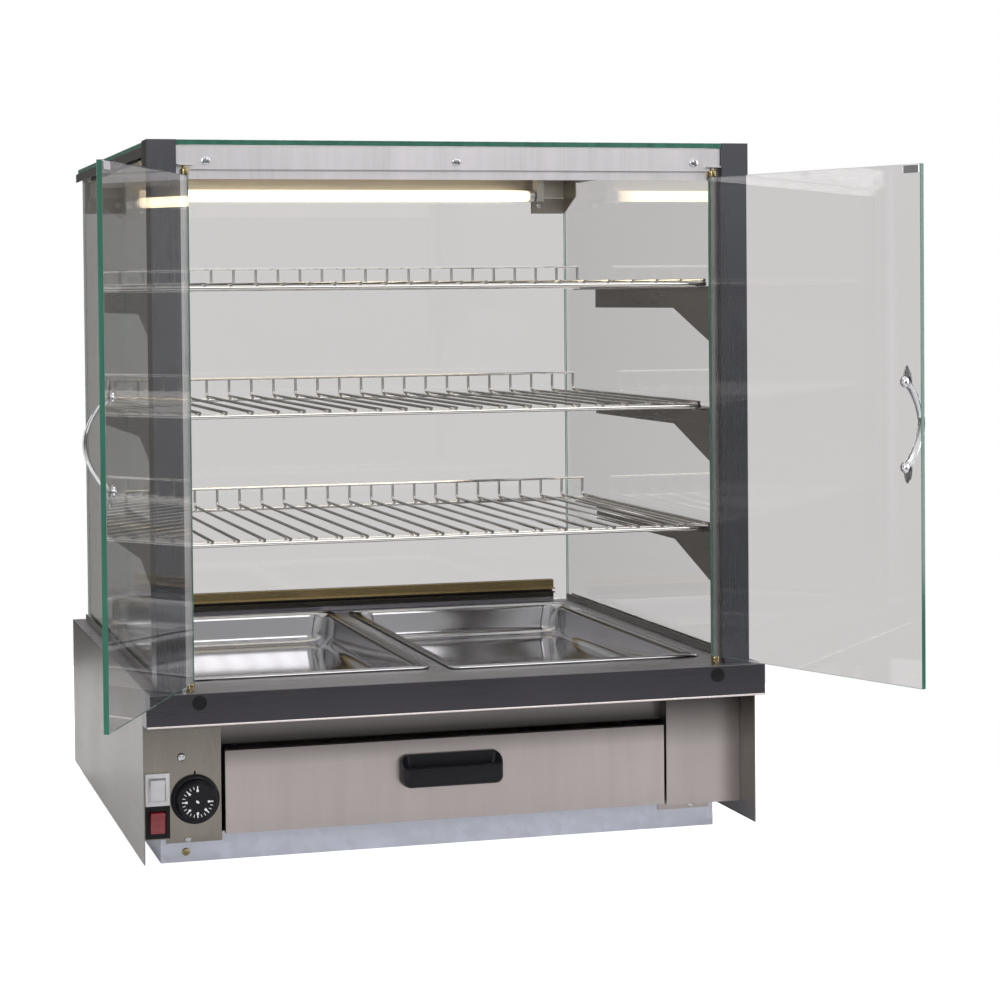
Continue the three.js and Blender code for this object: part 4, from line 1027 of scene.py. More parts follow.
@dataclass
class SheetWork:
    """The folded sheet-metal and switch nodes, kept as packed and dressed."""

    rack: FinishRack
    edge: float = 0.0004
    post_edge: float = 0.0012

    def build(self) -> int:
        """Dresses every kept node and returns how many."""
        plan = {
            "panel_steel_upright": ["drawer_tub", "base_back_panel"],
            "drawer_steel": ["drawer_front"],
            "fascia_steel": ["fascia_panel"],
            "right_box_steel": ["right_box"],
            "panel_steel_deep": ["base_side_panel_left", "base_side_panel_right"],
            "box_steel": ["control_box"],
            "rail_steel_level": ["deck_top"],
            "post_steel": ["front_post_left", "front_post_right"],
            "beam_steel": ["side_top_beam_left", "side_top_beam_right", "side_channel_left",
                           "side_channel_right"],
            "header_steel": ["header_plate"],
            "channel_steel": ["rear_channel"],
            "housing_steel": ["lamp_housing"],
            "plate_steel": ["corner_plate_left", "corner_plate_right"],
            "zinc_sheet": ["chassis_tray", "element_bar_front", "element_bar_rear"],
            "plated_case": ["lamp_ballast", "thermostat_body"],
            "black_plastic": ["power_switch_body"],
            "white_plastic": ["light_switch_body", "terminal_block"],
            "holder_plastic": ["lamp_holder_left", "lamp_holder_right"],
            "chrome_plate": ["strike_plate_left", "strike_plate_right"],
        }
        for finish, nodes in plan.items():
            for node in nodes:
                wide = self.post_edge if node.startswith("front_post") else self.edge
                self.dress(frame["nodes"][node], self.rack[finish], wide)
        return sum(len(nodes) for nodes in plan.values())

    @staticmethod
    def dress(node: bpy.types.Object, finish: bpy.types.Material, edge: float) -> None:
        """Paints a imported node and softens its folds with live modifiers."""
        node.data.materials.clear()
        node.data.materials.append(finish)
        weld = node.modifiers.new("weld", "WELD")
        weld.merge_threshold = 1e-5
        bevelled(node, edge, 2)


@dataclass
class GlassWork:
    """The panes, kept as packed, with clear faces and green cut edges."""

    edge: float = 0.0005
    door_open_left: float = 115.3
    door_open_right: float = 112.5

    def build(self) -> int:
        """Dresses every pane and returns how many."""
        left = math.radians(90.0 - self.door_open_left)
        right = math.radians(90.0 + self.door_open_right)
        faces = {
            "top_glass": Vector((0, 0, 1)),
            "rear_glass": Vector((0, 1, 0)),
            "side_glass_left": Vector((1, 0, 0)),
            "side_glass_right": Vector((1, 0, 0)),
            "door_glass_left": Vector((math.cos(left), math.sin(left), 0)),
            "door_glass_right": Vector((math.cos(right), math.sin(right), 0)),
        }
        for node, face in faces.items():
            pane = frame["nodes"][node]
            SheetWork.dress(pane, PaneGlass(f"{node}_finish", face).make(), self.edge)
            pane.visible_shadow = False
        return len(faces)


# ------------------------------------------------------------------------ pans


@dataclass
class FoodPans:
    """Two pressed pans with a stepped rim, drafted walls and a radiused floor."""

    rack: FinishRack
    sheet: float = 0.0008
    lip: float = 0.0035
    step_in: float = 0.0085
    corner: float = 0.012
    draft: float = 0.0045
    floor_radius: float = 0.013

    def build(self) -> list[bpy.types.Object]:
        """Builds both pans."""
        return [self.pan(side) for side in ("left", "right")]

    def pan(self, side: str) -> bpy.types.Object:
        """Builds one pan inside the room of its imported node."""
        low, high = span(f"pan_{side}")
        centre, size = (low + high) / 2, high - low
        well = self.step_in + 0.0045
        floor = low.z + self.sheet
        rows: list[tuple[float, float, float]] = [
            (0.0012, low.z + 0.0400, self.corner),
            (0.0001, high.z - 0.0026, self.corner),
            (0.0004, high.z - 0.0012, self.corner),
            (0.0016, high.z - 0.0003, self.corner),
            (self.lip, high.z - 0.0006, self.corner - 0.001),
            (self.lip + 0.0010, high.z - 0.0014, self.corner - 0.001),
            (self.step_in, high.z - 0.0012, self.corner + 0.004),
            (self.step_in + 0.0016, high.z - 0.0006, self.corner + 0.006),
            (self.step_in + 0.0030, high.z - 0.0012, self.corner + 0.009),
            (well, high.z - 0.0034, self.corner + 0.011),
            (well + 0.0004, high.z - 0.0070, self.corner + 0.011),
        ]
        rows.append((well + self.draft, floor + self.floor_radius, self.corner + 0.012))
        for step in range(1, 7):
            angle = math.pi / 2 * step / 6
            inset = well + self.draft + self.floor_radius * (1 - math.cos(angle)) * 1.15
            rows.append((inset, floor + self.floor_radius * (1 - math.sin(angle)),
                         self.corner + 0.012 - inset * 0.1))
        rows.append((well + self.draft + 0.034, floor + 0.0002, self.corner + 0.006))
        rows.append((well + self.draft + 0.075, floor + 0.0005, self.corner + 0.002))
        rings = []
        for inset, level, corner in rows:
            extent = (size.x - 2 * inset, size.y - 2 * inset)
            rings.append(rounded_ring((centre.x, centre.y), extent, corner, level, 8))
        count, last = len(rings[0]), (len(rings) - 1) * len(rings[0])
        faces = [[i * count + j, i * count + (j + 1) % count, (i + 1) * count + (j + 1) % count,
                  (i + 1) * count + j]
                 for i in range(len(rings) - 1) for j in range(count)]
        points = [p for ring in rings for p in ring]
        points.append(Vector((centre.x, centre.y, floor + 0.0007)))
        faces += [[last + j, last + (j + 1) % count, len(points) - 1] for j in range(count)]
        pan = piece_from(f"food_pan_{side}", points, faces, 60.0)
        self.face_up(pan)
        wall = pan.modifiers.new("sheet", "SOLIDIFY")
        wall.thickness, wall.offset = self.sheet, -1.0
        baked(pan)
        clean_mesh(pan.data, 50.0)
        return seat(pan, f"pan_{side}", "pan_steel", self.rack["pan_steel"], f"pan_{side}")

    @staticmethod
    def face_up(pan: bpy.types.Object) -> None:
        """Turns the open skin so that its floor faces up."""
        work = bmesh.new()
        work.from_mesh(pan.data)
        lowest = min(work.faces, key=lambda f: f.calc_center_median().z)
        if lowest.normal.z < 0:
            bmesh.ops.reverse_faces(work, faces=work.faces)
        work.to_mesh(pan.data)
        work.free()


# --------------------------------------------------------------------- shelves


@dataclass
class WireShelves:
    """Three loose shelves of round wire on a bar frame, with a fence behind."""

    rack: FinishRack
    rules: Rules
    wire: float = 0.0036
    bar: float = 0.0058
    spaces: int = 21
    bend: float = 0.005
    second_bar: float = 0.022
    rear_bar: float = 0.0145

    def build(self) -> list[bpy.types.Object]:
        """Builds the three shelves."""
        return [self.shelf(level) for level in ("bottom", "middle", "top")]

    def bend_path(self, start: Vector, corner: Vector, end: Vector) -> list[Vector]:
        """A line that turns a round corner from one leg to the other."""
        before, after = (start - corner).normalized(), (end - corner).normalized()
        near = corner + before * self.bend
        hub = near + after * self.bend
        arc = [hub + (-after * math.cos(a) - before * math.sin(a)) * self.bend
               for a in (math.pi / 2 * s / 6 for s in range(7))]
        return [start, *arc, end]

    def shelf(self, level: str) -> bpy.types.Object:
        """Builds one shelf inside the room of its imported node."""
        low, high = span(f"wire_shelf_{level}")
        finish, row = self.rack["wire_chrome"], self.rules.row.make
        half, top = self.bar / 2, low.z + self.bar
        wire_z = top + self.wire / 2 - 0.0002
        left, right = low.x + half, high.x - half
        front, rear = low.y + 0.003, high.y - self.wire / 2
        count, pitch, first = self.spaces + 1, (right - left) / self.spaces, left
        fence = high.z - self.wire / 2 - 0.0005
        path = self.bend_path(Vector((first, front - 0.0035, wire_z)), Vector((first, rear, wire_z)),
                              Vector((first, rear, fence)))
        parts = [row(f"wires_{level}", path, self.wire / 2, finish, count, (pitch, 0, 0), 10)]
        bar_z, back = low.z + half, rear - self.rear_bar + 0.004
        for name, y in (("front", front), ("second", front + self.second_bar), ("rear", back)):
            line = [Vector((left, y, bar_z)), Vector((right, y, bar_z))]
            parts.append(row(f"{name}_bar_{level}", line, half, finish, sides=14))
        for name, x in (("left", left), ("right", right)):
            side = [Vector((x, front - 0.0025, bar_z)), Vector((x, back + 0.003, bar_z))]
            parts.append(row(f"{name}_side_{level}", side, half, finish, sides=14))
        rail = [Vector((left - 0.002, rear, fence)), Vector((right + 0.002, rear, fence))]
        parts.append(row(f"fence_rail_{level}", rail, self.wire / 2, finish, sides=10))
        whole = merged(f"round_wire_shelf_{level}", parts)
        return seat(whole, f"shelf_{level}", "wire_chrome", None, f"wire_shelf_{level}")


# ----------------------------------------------------------------------- doors


@dataclass
class DoorFittings:
    """Bow handles, pivots and their screws, set on the open doors."""

    rack: FinishRack
    rules: Rules
    open_left: float = 115.3
    open_right: float = 112.5
    handle_reach: float = 0.300
    screw_span: float = 0.096
    length: float = 0.132
    bow: float = 0.025
    width: float = 0.011
    thickness: float = 0.005
    glass: float = 0.006

    def build(self) -> list[bpy.types.Object]:
        """Builds the fittings of both doors."""
        made = []
        for name, side, angle in (("left", -1, self.open_left), ("right", 1, self.open_right)):
            hinge = middle(f"door_pivot_bottom_{name}")
            place = Matrix.Translation((hinge.x, hinge.y,
                                        0)) @ Matrix.Rotation(math.radians(side * angle), 4, "Z")
            made += [self.handle(name, side, place), self.pivots(name, hinge), self.screws(name, side, place)]
        return made

    def handle(self, name: str, side: int, place: Matrix) -> bpy.types.Object:
        """Builds a bow handle whose flat leaf ends lie on the glass."""
        low, high = span(f"door_handle_{name}")
        centre = (low.z + high.z) / 2
        face = -self.glass / 2 - 0.0004
        path, sections = [], []
        inner = self.screw_span / 2
        steps = 40
        for i in range(steps + 1):
            along = -1 + 2 * i / steps
            z = along * self.length / 2
            inside = min(abs(z) / (inner - 0.004), 1.0)
            rise = (self.bow - self.thickness / 2 - 0.0012) * max(math.cos(inside * math.pi / 2), 0.0) ** 0.8
            leaf = max((abs(z) - inner) / (self.length / 2 - inner), 0.0)
            width = self.width / 2 * (0.80 + 0.35 * inside ** 2) * max(1 - leaf ** 2.2, 0.06) ** 0.5
            thick = self.thickness / 2 * (1.0 - 0.45 * inside ** 3) * max(1 - 0.6 * leaf, 0.25)
            ring = [Vector((width * math.cos(a), thick * math.sin(a) * (1.0 if math.sin(a) > 0 else 0.7), 0))
                    for a in (2 * math.pi * k / 20 for k in range(20))]
            path.append(Vector((-side * self.handle_reach, face - thick * 0.75 - rise, centre + z)))
            sections.append(ring)
        piece = swept(f"bow_handle_{name}", path, sections, Vector((1, 0, 0)))
        piece.data.transform(place)
        clean_mesh(piece.data, 50.0)
        return seat(piece, f"door_{name}", "chrome", self.rack["chrome_plate"], f"door_handle_{name}")

    def screws(self, name: str, side: int, place: Matrix) -> bpy.types.Object:
        """Puts the handle's two round screw heads and washers on the inner face."""
        centre = (span(f"door_handle_{name}")[0].z + span(f"door_handle_{name}")[1].z) / 2
        parts = []
        profile = [(0.0, 0.0), (0.0062, 0.0), (0.0064, 0.0006), (0.0048, 0.0011), (0.0046, 0.0022),
                   (0.0036, 0.0031), (0.0016, 0.0035), (0.0010, 0.0028), (0.0, 0.0027)]
        for number, z in enumerate((-self.screw_span / 2, self.screw_span / 2)):
            at = Vector((-side * self.handle_reach, self.glass / 2 + 0.0001, centre + z))
            parts.append(turned(f"screw_{number}", profile, at, Axis.Y, 1, 32))
        piece = merged(f"handle_screws_{name}", parts)
        piece.data.transform(place)
        clean_mesh(piece.data, 50.0)
        return seat(piece, f"door_{name}", "chrome", self.rack["screw_steel"])

    def pivots(self, name: str, hinge: Vector) -> bpy.types.Object:
        """Turns the brass pivots below and above the glass."""
        parts = []
        for level, way in (("bottom", 1), ("top", -1)):
            low, high = span(f"door_pivot_{level}_{name}")
            tall, radius = high.z - low.z, (high.x - low.x) / 2
            pin = radius * 0.44
            profile = [(0.0, 0.0), (pin * 0.8, 0.0), (pin, 0.0006), (pin, tall * 0.35),
                       (radius * 0.7, tall * 0.38),
                       (radius * 0.97, tall * 0.44), (radius,
                                                      tall * 0.5), (radius,
                                                                    tall * 0.66), (radius * 0.86, tall * 0.7),
                       (radius * 0.86, tall * 0.74), (radius,
                                                      tall * 0.78), (radius,
                                                                     tall * 0.95), (radius * 0.92, tall), (0.0, tall)]
            start = Vector((hinge.x, hinge.y, low.z if way == 1 else high.z))
            parts.append(turned(f"pivot_{level}", profile, start, Axis.Z, way, 28))
        piece = merged(f"door_pivots_{name}", parts)
        clean_mesh(piece.data, 40.0)
        nodes = (f"door_pivot_bottom_{name}", f"door_pivot_top_{name}")
        return seat(piece, f"door_{name}", "brass", self.rack["turned_brass"], *nodes)


# --------------------------------------------------------------------- drawer


@dataclass
class DrawerPull:
    """The black moulded pull: a low cup whose front wall is below its back."""

    rack: FinishRack
    wall: float = 0.005
    lip_share: float = 0.62
    corner: float = 0.010

    def build(self) -> bpy.types.Object:
        """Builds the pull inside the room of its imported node."""
        low, high = span("drawer_handle")
        centre, size = (low + high) / 2, high - low
        rings = []
        rows = [(0.0, 0.0), (0.0, 0.25), (0.0006, 0.55), (0.0018, 0.8), (0.0036, 0.94), (0.0062, 1.0)]
        for inset, out in rows:
            extent = (size.x - 2 * inset, size.z - 2 * inset)
            ring = rounded_ring((centre.x, centre.z), extent, self.corner - inset * 0.6, 0.0, 8)
            rings.append([Vector((p.x, high.y - out * size.y, p.y)) for p in ring])
        body = loft("pull_body", rings)
        top = low.z + size.z * self.lip_share
        pull = carved(body, self.slope(low, high, top))
        pull = carved(pull, self.scoop(low, high))
        bevelled(pull, 0.0009, 3, 35.0)
        baked(pull)
        pull.name = "moulded_pull"
        clean_mesh(pull.data, 40.0)
        return seat(pull, "drawer", "black_plastic", self.rack["black_plastic"], "drawer_handle")

    def scoop(self, low: Vector, high: Vector) -> bpy.types.Object:
        """The tool that hollows the cup."""
        front, back = low.y + self.wall, high.y - 0.003
        floor, wide = low.z + self.wall, (high.x - low.x) / 2
        middle_x = (low.x + high.x) / 2
        rows = [(wide - 0.017, floor, front + 0.004), (wide - 0.012, floor + 0.003, front + 0.0012),
                (wide - 0.009, floor + 0.009, front), (wide - 0.0055, high.z + 0.004, front - 0.0005)]
        rings = [rounded_ring((middle_x, (back + edge) / 2), (2 * half, back - edge), 0.006, z, 6) for half, z,
                 edge in rows]
        return loft("pull_scoop", rings)

    def slope(self, low: Vector, high: Vector, top: float) -> bpy.types.Object:
        """The tool that cuts the cup's top down from its back to its front wall."""
        run = [(high.y - 0.0035, high.z + 0.002), (high.y - 0.0045, high.z - 0.0015),
               (low.y + 0.006, top + 0.002),
               (low.y - 0.002, top), (low.y - 0.004, high.z + 0.006), (high.y - 0.0035, high.z + 0.006)]
        rings = [[Vector((x, y, z)) for y, z in run] for x in (low.x - 0.002, high.x + 0.002)]
        return loft("pull_slope", rings)


# -------------------------------------------------------------------- controls


@dataclass
class Controls:
    """The thermostat dial with its marks, and the two rocker switches."""

    rack: FinishRack
    rules: Rules
    rocker_tilt: float = 8.0
    marks: int = 7
    minors: int = 2
    start_angle: float = 90.0
    sweep_angle: float = 270.0

    def build(self) -> list[bpy.types.Object]:
        """Builds the dial, its marks, the index and the rockers."""
        return [self.dial(), self.dial_marks(), self.rocker("power"), self.rocker("light"), self.bezel_trim()]

    def dial(self) -> bpy.types.Object:
        """Turns the dial: a thin skirt, a ribbed waist and a flat face."""
        low, high = span("thermostat_knob")
        centre = (low + high) / 2
        radius, depth = (high.x - low.x) / 2, high.y - low.y
        profile = [
            (0.0, 0.0), (radius - 0.001, 0.0), (radius, 0.0006), (radius, 0.0024), (radius - 0.0008, 0.0034),
            (radius - 0.0040, 0.0044), (radius - 0.0052, 0.0060), (radius * 0.815, depth - 0.0030),
            (radius * 0.805, depth - 0.0012), (radius * 0.780, depth - 0.0002), (radius * 0.765, depth),
            (radius * 0.745, depth - 0.0006), (radius * 0.2, depth - 0.0007), (0.0, depth - 0.0007),
        ]
        start = Vector((centre.x, high.y, centre.z))
        knob = turned("dial_knob", profile, start, Axis.Y, -1, 96)
        return seat(knob, "thermostat_knob", "black_plastic", self.rack["black_plastic"], "thermostat_knob")

    def dial_marks(self) -> bpy.types.Object:
        """Stamps the white scale on the dial's face: dots, long and short ticks."""
        low, high = span("thermostat_knob")
        centre, face = (low + high) / 2, low.y + 0.0006
        tick = piece_from("tick_pattern", [Vector((x, y, z)) for z in (0.0, 0.0002) for x,
                                           y in ((-0.5, -0.5), (0.5, -0.5), (0.5, 0.5), (-0.5, 0.5))],
                          [[0, 1, 2, 3], [4, 5, 6, 7], [0, 1, 5, 4], [1, 2, 6, 5], [2, 3, 7, 6], [3, 0, 4, 7]])
        groups = []
        total = (self.marks - 1) * (self.minors + 1)
        for kind, near, far, wide in (("long", 0.0145, 0.0186, 0.0012), ("short", 0.0152, 0.0186, 0.0007),
                                      ("dot", 0.0120, 0.0148, 0.0026)):
            pattern = tick.copy()
            pattern.data = tick.data.copy()
            pattern.data.transform(Matrix.Diagonal((far - near, wide, 1.0, 1.0)))
            bpy.context.scene.collection.objects.link(pattern)
            places = []
            for i in range(total + 1):
                major = i % (self.minors + 1) == 0
                if (kind == "short") == major:
                    continue
                angle = math.radians(self.start_angle + self.sweep_angle * i / total)
                reach = (near + far) / 2
                point = Vector((centre.x + reach * math.cos(angle), face, centre.z + reach * math.sin(angle)))
                places.append((point, Vector((math.pi / 2, -angle, 0.0)), 1.0))
            groups.append(self.rules.stamp.make(f"marks_{kind}", pattern, places, self.rack["mark_paint"]))
            bpy.data.objects.remove(pattern)
        bpy.data.objects.remove(tick)
        groups.append(self.pointer(centre, face))
        whole = merged("dial_scale", groups)
        return seat(whole, "thermostat_knob", "white_plastic", None)

    def pointer(self, centre: Vector, face: float) -> bpy.types.Object:
        """A small slanted oval in the middle of the dial."""
        lean = math.radians(-40.0)
        rings = []
        for y, share in ((face + 0.0003, 1.0), (face - 0.0001, 1.0), (face - 0.0003, 0.8)):
            ring = []
            for k in range(24):
                a = 2 * math.pi * k / 24
                u, v = 0.0024 * share * math.cos(a), 0.0014 * share * math.sin(a)
                ring.append(Vector((centre.x + u * math.cos(lean) - v * math.sin(lean), y,
                                    centre.z + u * math.sin(lean) + v * math.cos(lean))))
            rings.append(ring)
        piece = loft("dial_pointer", rings)
        piece.data.materials.append(self.rack["mark_paint"])
        return piece

    def rocker(self, name: str) -> bpy.types.Object:
        """Builds a dished rocker, tipped about its pivot."""
        low, high = span(f"{name}_rocker")
        pivot = Vector(next(j for j in frame["joints"] if j["child"] == f"{name}_rocker")["pos_m"])
        half, proud, dish, wide = 0.0125, 0.006, 0.0018, (high.x - low.x) / 2 - 0.0002
        outline = []
        for i in range(13):
            along = 1 - 2 * i / 12
            outline.append((-proud + dish * (1 - along ** 2), half * along))
        outline += [(0.001, -half), (0.004, 0.0), (0.001, half)]
        rings = [[Vector((x, y, z)) for y, z in outline] for x in (-wide, wide)]
        piece = loft(f"{name}_rocker_cap", rings)
        bevelled(piece, 0.0007, 3, 40.0)
        baked(piece)
        clean_mesh(piece.data, 30.0)
        piece.data.transform(Matrix.Translation(pivot) @ Matrix.Rotation(math.radians(self.rocker_tilt), 4, "X"))
        finish, slot = ("red_lens", "red_lens") if name == "power" else ("white_plastic", "white_plastic")
        return seat(piece, f"{name}_rocker", slot, self.rack[finish], f"{name}_rocker")

    def bezel_trim(self) -> bpy.types.Object:
        """A raised inner frame round each rocker's pocket, as moulded on the bezel."""
        parts = []
        for name, finish in (("power", "black_plastic"), ("light", "white_plastic")):
            low, high = span(f"{name}_switch_body")
            centre = (low + high) / 2
            rings = []
            for out, size, level in ((0, 0.0, 0.0006), (1, 0.0, -0.0006), (1, 0.0007, -0.0009),
                                     (1, 0.0012, -0.0006), (0, 0.0012, 0.0006)):
                extent = (0.0192 + 0.0026 - 2 * size, 0.0272 + 0.0026 - 2 * size)
                ring = rounded_ring((centre.x, centre.z), extent, 0.0012, 0.0, 4)
                rings.append([Vector((p.x, low.y + level, p.y)) for p in ring])
            trim = loft(f"{name}_trim", rings, caps=False, loop=True)
            trim.data.materials.append(self.rack[finish])
            parts.append(trim)
        whole = merged("bezel_frames", parts)
        return seat(whole, "case", "black_plastic", None)


# ------------------------------------------------------------------------ lamp


@dataclass
class LampGear:
    """The lit tube with its end caps."""

    rack: FinishRack
    cap: float = 0.009

    def build(self) -> list[bpy.types.Object]:
        """Builds the tube and its caps."""
        low, high = span("lamp_tube")
        centre, radius = (low + high) / 2, (high.z - low.z) / 2
        half = (high.x - low.x) / 2
        inner = half - self.cap
        glass = [(0.0, 0.0), (radius * 0.8, 0.0), (radius * 0.96, 0.002), (radius * 0.985, 0.005),
                 (radius * 0.985, 2 * inner - 0.005), (radius * 0.96,
                                                       2 * inner - 0.002), (radius * 0.8, 2 * inner), (0.0, 2 * inner)]
        tube = turned("lit_tube", glass, Vector((-inner, centre.y, centre.z)), Axis.X, 1, 40)
        seat(tube, "case", "lamp_glass", LampGlow("lamp_glow", half).make(), "lamp_tube")
        caps = []
        for side in (-1, 1):
            profile = [(0.0, 0.0), (radius * 0.9, 0.0), (radius, 0.0005), (radius, self.cap - 0.0025),
                       (radius * 0.93, self.cap - 0.001),
                       (radius * 0.8, self.cap), (0.0, self.cap)]
            start = Vector((side * (half - self.cap), centre.y, centre.z))
            caps.append(turned(f"cap_{side}", profile, start, Axis.X, side, 36))
        ends = merged("tube_caps", caps)
        clean_mesh(ends.data)
        return [tube, seat(ends, "case", "lamp_glass", self.rack["plated_case"])]


# ------------------------------------------------------------------- fasteners


@dataclass
class Fasteners:
    """Screws, studs and plugs on the case, stamped on their points."""

    rack: FinishRack
    rules: Rules
    header_screw: float = 5.6
    header_inset: float = 0.0345
    header_drop: float = 0.017
    header_proud: float = 0.0055
    box_screw: float = 5.0
    box_screw_place: tuple[float, float] = (0.0502, 0.129)
    flange_screw: float = 4.0
    flange_places: tuple[float, float] = (-0.3177, 0.3198)
    flange_height: float = 0.0275
    sheet: float = 0.0016
    plate_screw: float = 4.2
    plate_place: tuple[float, float] = (0.0405, 0.0115)
    back_screw: float = 3.4
    back_columns: tuple[float, ...] = (-0.355, -0.12, 0.12, 0.355)
    back_rows: tuple[float, float] = (0.028, 0.200)
    stud: float = 4.7
    stud_place: tuple[float, float, float] = (-0.320, -0.239, 0.012)
    hem_radius: float = 0.0014
    hem_drop: float = 0.0372
    hem_depth: float = 0.0008
    hem_end: float = 0.001

    def pattern(self) -> bpy.types.Object:
        """A pan-head screw with a cross recess, facing +Z, 1 mm of radius per unit."""
        profile = [(0.0, 0.0), (1.0, 0.0), (1.0, 0.12), (0.93, 0.30), (0.74, 0.46), (0.42, 0.56), (0.12, 0.58),
                   (0.0, 0.58)]
        head = turned("screw_pattern", [(r * MM, z * MM) for r, z in profile], Vector(), Axis.Z, 1, 28)
        for turn in (0.0, math.pi / 2):
            corners = [Matrix.Rotation(turn, 3, "Z") @ Vector((x * MM, y * MM, z * MM))
                       for z in (0.28, 0.9) for x, y in ((-0.55, -0.11), (0.55, -0.11), (0.55, 0.11),
                                                         (-0.55, 0.11))]
            tool = piece_from("slot_tool", corners,
                              [[3, 2, 1, 0], [4, 5, 6, 7], [0, 1, 5, 4], [1, 2, 6, 5], [2, 3, 7, 6],
                               [3, 0, 4, 7]])
            carved(head, tool)
        return head

    def build(self) -> list[bpy.types.Object]:
        """Stamps the screws and builds the rail plugs and the brass stud."""
        pattern = self.pattern()
        front = Vector((math.pi / 2, 0.0, 0.0))
        header_low, header_high = span("header_plate")
        box_low = span("control_box")[0]
        plates = span("corner_plate_left")[0], span("corner_plate_right")[1]
        face = header_low.y + self.header_proud
        flange = span("control_box")[1].y - self.sheet
        reach = header_high.x - self.header_inset
        drop = header_high.z - self.header_drop
        places = [(Vector((x, face, drop)), front, self.header_screw) for x in (-reach, 0.0, reach)]
        side, level = self.box_screw_place
        places += [(Vector((box_low.x + side, box_low.y, level)), front, self.box_screw)]
        places += [(Vector((x, flange, self.flange_height)), front,
                    self.flange_screw) for x in self.flange_places]
        rear = span("corner_plate_left")[1].y - self.sheet
        inset, lift = self.plate_place
        columns = (plates[0].x + inset, plates[1].x - inset)
        places += [(Vector((x, rear, plates[0].z + lift)), front, self.plate_screw) for x in columns]
        back_y = span("base_back_panel")[1].y
        behind = Vector((-math.pi / 2, 0.0, 0.0))
        for x in self.back_columns:
            places += [(Vector((x, back_y, z)), behind, self.back_screw) for z in self.back_rows]
        screws = self.rules.stamp.make("case_screws", pattern, places, self.rack["screw_steel"])
        seat(screws, "case", "chrome", None)
        stud_places = [(Vector(self.stud_place), front, self.stud)]
        studs = self.rules.stamp.make("brass_stud", pattern, stud_places, self.rack["turned_brass"])
        seat(studs, "case", "brass", None)
        bpy.data.objects.remove(pattern)
        # The rolled hem along the rail's lower lip carries a painted highlight, a bright line on the dark rail.
        deck_low, deck_high = span("deck_top")
        hem_z, hem_y = deck_high.z - self.hem_drop, deck_low.y + self.hem_depth
        ends = (deck_low.x + self.hem_end, deck_high.x - self.hem_end)
        path = [Vector((x, hem_y, hem_z)) for x in ends]
        hem = self.rules.row.make("rail_hem", path, self.hem_radius, self.rack["hem_highlight_steel"], sides=16)
        seat(hem, "case", "rail_steel", None)
        return [screws, studs, hem, *(self.plug(side) for side in ("left", "right")), self.index_mark()]

    def plug(self, side: str) -> bpy.types.Object:
        """A domed push-in plug on the front rail."""
        low, high = span(f"rail_plug_{side}")
        centre, radius = (low + high) / 2, (high.x - low.x) / 2
        stem, deep = radius * 0.64, high.y - low.y
        profile = [(0.0, 0.0), (stem, 0.0), (stem, deep - 0.0016), (radius * 0.97, deep - 0.0016),
                   (radius, deep - 0.0011),
                   (radius * 0.94, deep - 0.0004), (radius * 0.7,
                                                    deep - 0.0001), (radius * 0.3, deep), (0.0, deep)]
        plug = turned(f"domed_plug_{side}", profile, Vector((centre.x, high.y, centre.z)), Axis.Y, -1, 40)
        return seat(plug, "case", "black_plastic", self.rack["black_plastic"], f"rail_plug_{side}")

    def index_mark(self) -> bpy.types.Object:
        """The small printed index above the dial."""
        low = span("control_box")[0]
        dial = middle("thermostat_knob")
        rings = []
        for y, share in ((low.y + 0.0001, 1.0), (low.y - 0.0001, 1.0)):
            rings.append([Vector((dial.x + 0.0013 * share * math.cos(a), y,
                                  dial.z + 0.0313 + 0.0022 * share * math.sin(a)))
                          for a in (2 * math.pi * k / 20 for k in range(20))])
        mark = loft("index_mark", rings)
        return seat(mark, "case", "black_plastic", self.rack["black_plastic"])


# --------------------------------------------------------------------- heating


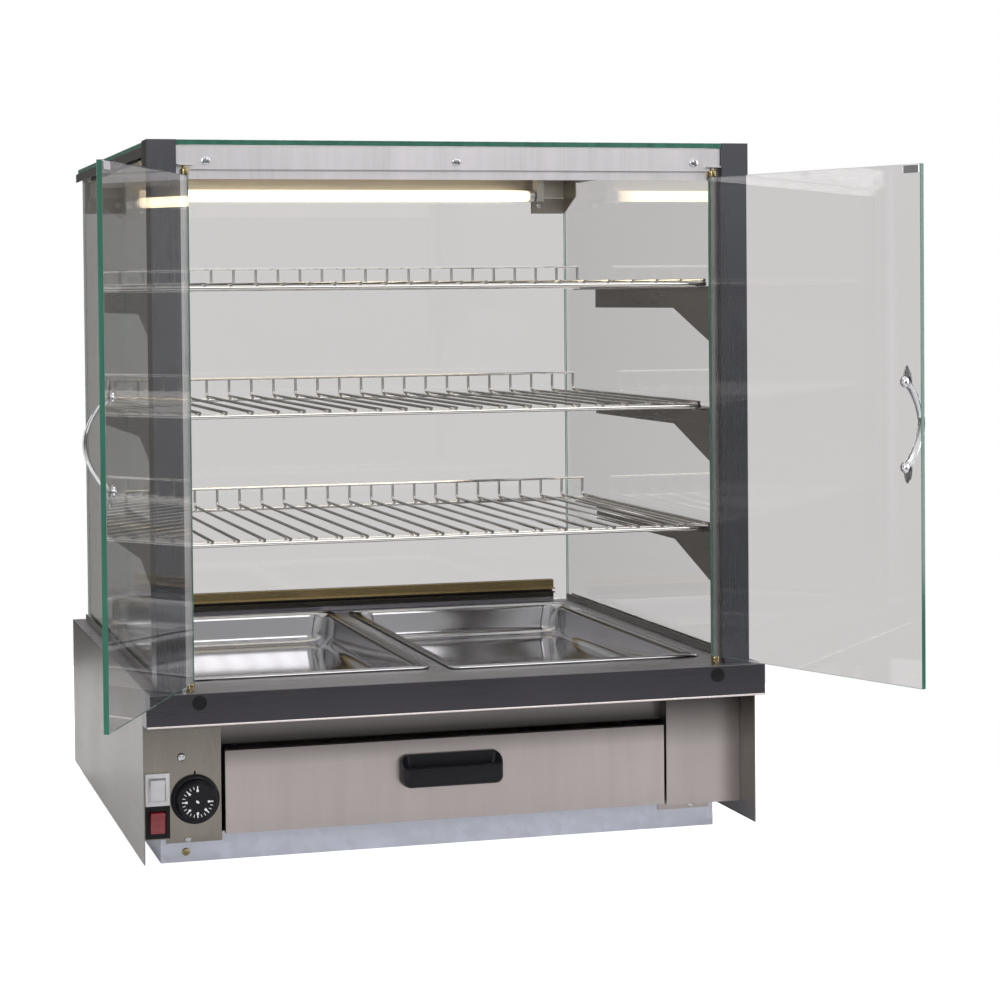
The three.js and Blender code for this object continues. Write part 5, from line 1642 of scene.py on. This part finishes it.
@dataclass
class HeatingGear:
    """The round sheathed element under the pans and the gland at the back."""

    rack: FinishRack
    rules: Rules
    runs: int = 4
    pitch: float = 0.1

    def build(self) -> list[bpy.types.Object]:
        """Builds the element and the gland."""
        return [self.element(), self.gland()]

    def element(self) -> bpy.types.Object:
        """Bends a round tube through straight runs and half turns."""
        low, high = span("heating_element")
        radius = (high.z - low.z) / 2
        level, reach = (low.z + high.z) / 2, high.x - radius - self.pitch / 2
        start = (low.y + high.y) / 2 - (self.runs - 1) * self.pitch / 2
        path = [Vector((low.x, start, level))]
        for run in range(self.runs - 1):
            way = 1 if run % 2 == 0 else -1
            y = start + run * self.pitch
            for step in range(13):
                angle = math.pi * step / 12
                out = reach + self.pitch / 2 * math.sin(angle)
                path.append(Vector((way * out, y + self.pitch / 2 * (1 - math.cos(angle)), level)))
        path.append(Vector((low.x, start + (self.runs - 1) * self.pitch, level)))
        tube = self.rules.row.make("element_tube", path, radius * 0.97, self.rack["element_steel"], sides=16)
        return seat(tube, "case", "element_steel", None, "heating_element")

    def gland(self) -> bpy.types.Object:
        """Turns the gland."""
        low, high = span("cable_gland")
        centre, radius = (low + high) / 2, (high.x - low.x) / 2
        wall = span("base_back_panel")[1].y - low.y
        deep = high.y - low.y
        profile = [(0.004, 0.0), (radius * 0.9, 0.0), (radius * 0.9, wall - 0.002),
                   (radius * 0.63, wall - 0.0018), (radius * 0.63, wall + 0.0002),
                   (radius, wall + 0.0004), (radius,
                                             wall + 0.0052), (radius * 0.9,
                                                              wall + 0.0062), (radius * 0.84, wall + 0.0064),
                   (radius * 0.82, deep - 0.003), (radius * 0.72,
                                                   deep - 0.0005), (radius * 0.6, deep), (0.004, deep)]
        body = turned("gland_body", profile, Vector((centre.x, low.y, centre.z)), Axis.Y, 1, 48)
        seat(body, "case", "black_plastic", self.rack["black_plastic"], "cable_gland")
        return body


# ------------------------------------------------------------------------ main


def main() -> None:
    """Builds every part of the picture in order and reports each piece."""
    logging.basicConfig(level=logging.INFO, format="%(name)s: %(message)s")
    rack, rules = FinishRack(), Rules()
    Studio().build()
    LOG.info("studio ready")
    LOG.info("sheet work: %d nodes", SheetWork(rack).build())
    LOG.info("glass: %d panes", GlassWork().build())
    for pan in FoodPans(rack).build():
        LOG.info("built %s", pan.name)
    for shelf in WireShelves(rack, rules).build():
        LOG.info("built %s", shelf.name)
    for maker in (DoorFittings(rack, rules), Controls(rack, rules), LampGear(rack), Fasteners(rack, rules),
                  HeatingGear(rack, rules)):
        for piece in maker.build():
            LOG.info("built %s", piece.name)
    LOG.info("built %s", DrawerPull(rack).build().name)


if __name__ == "__main__":
    main()
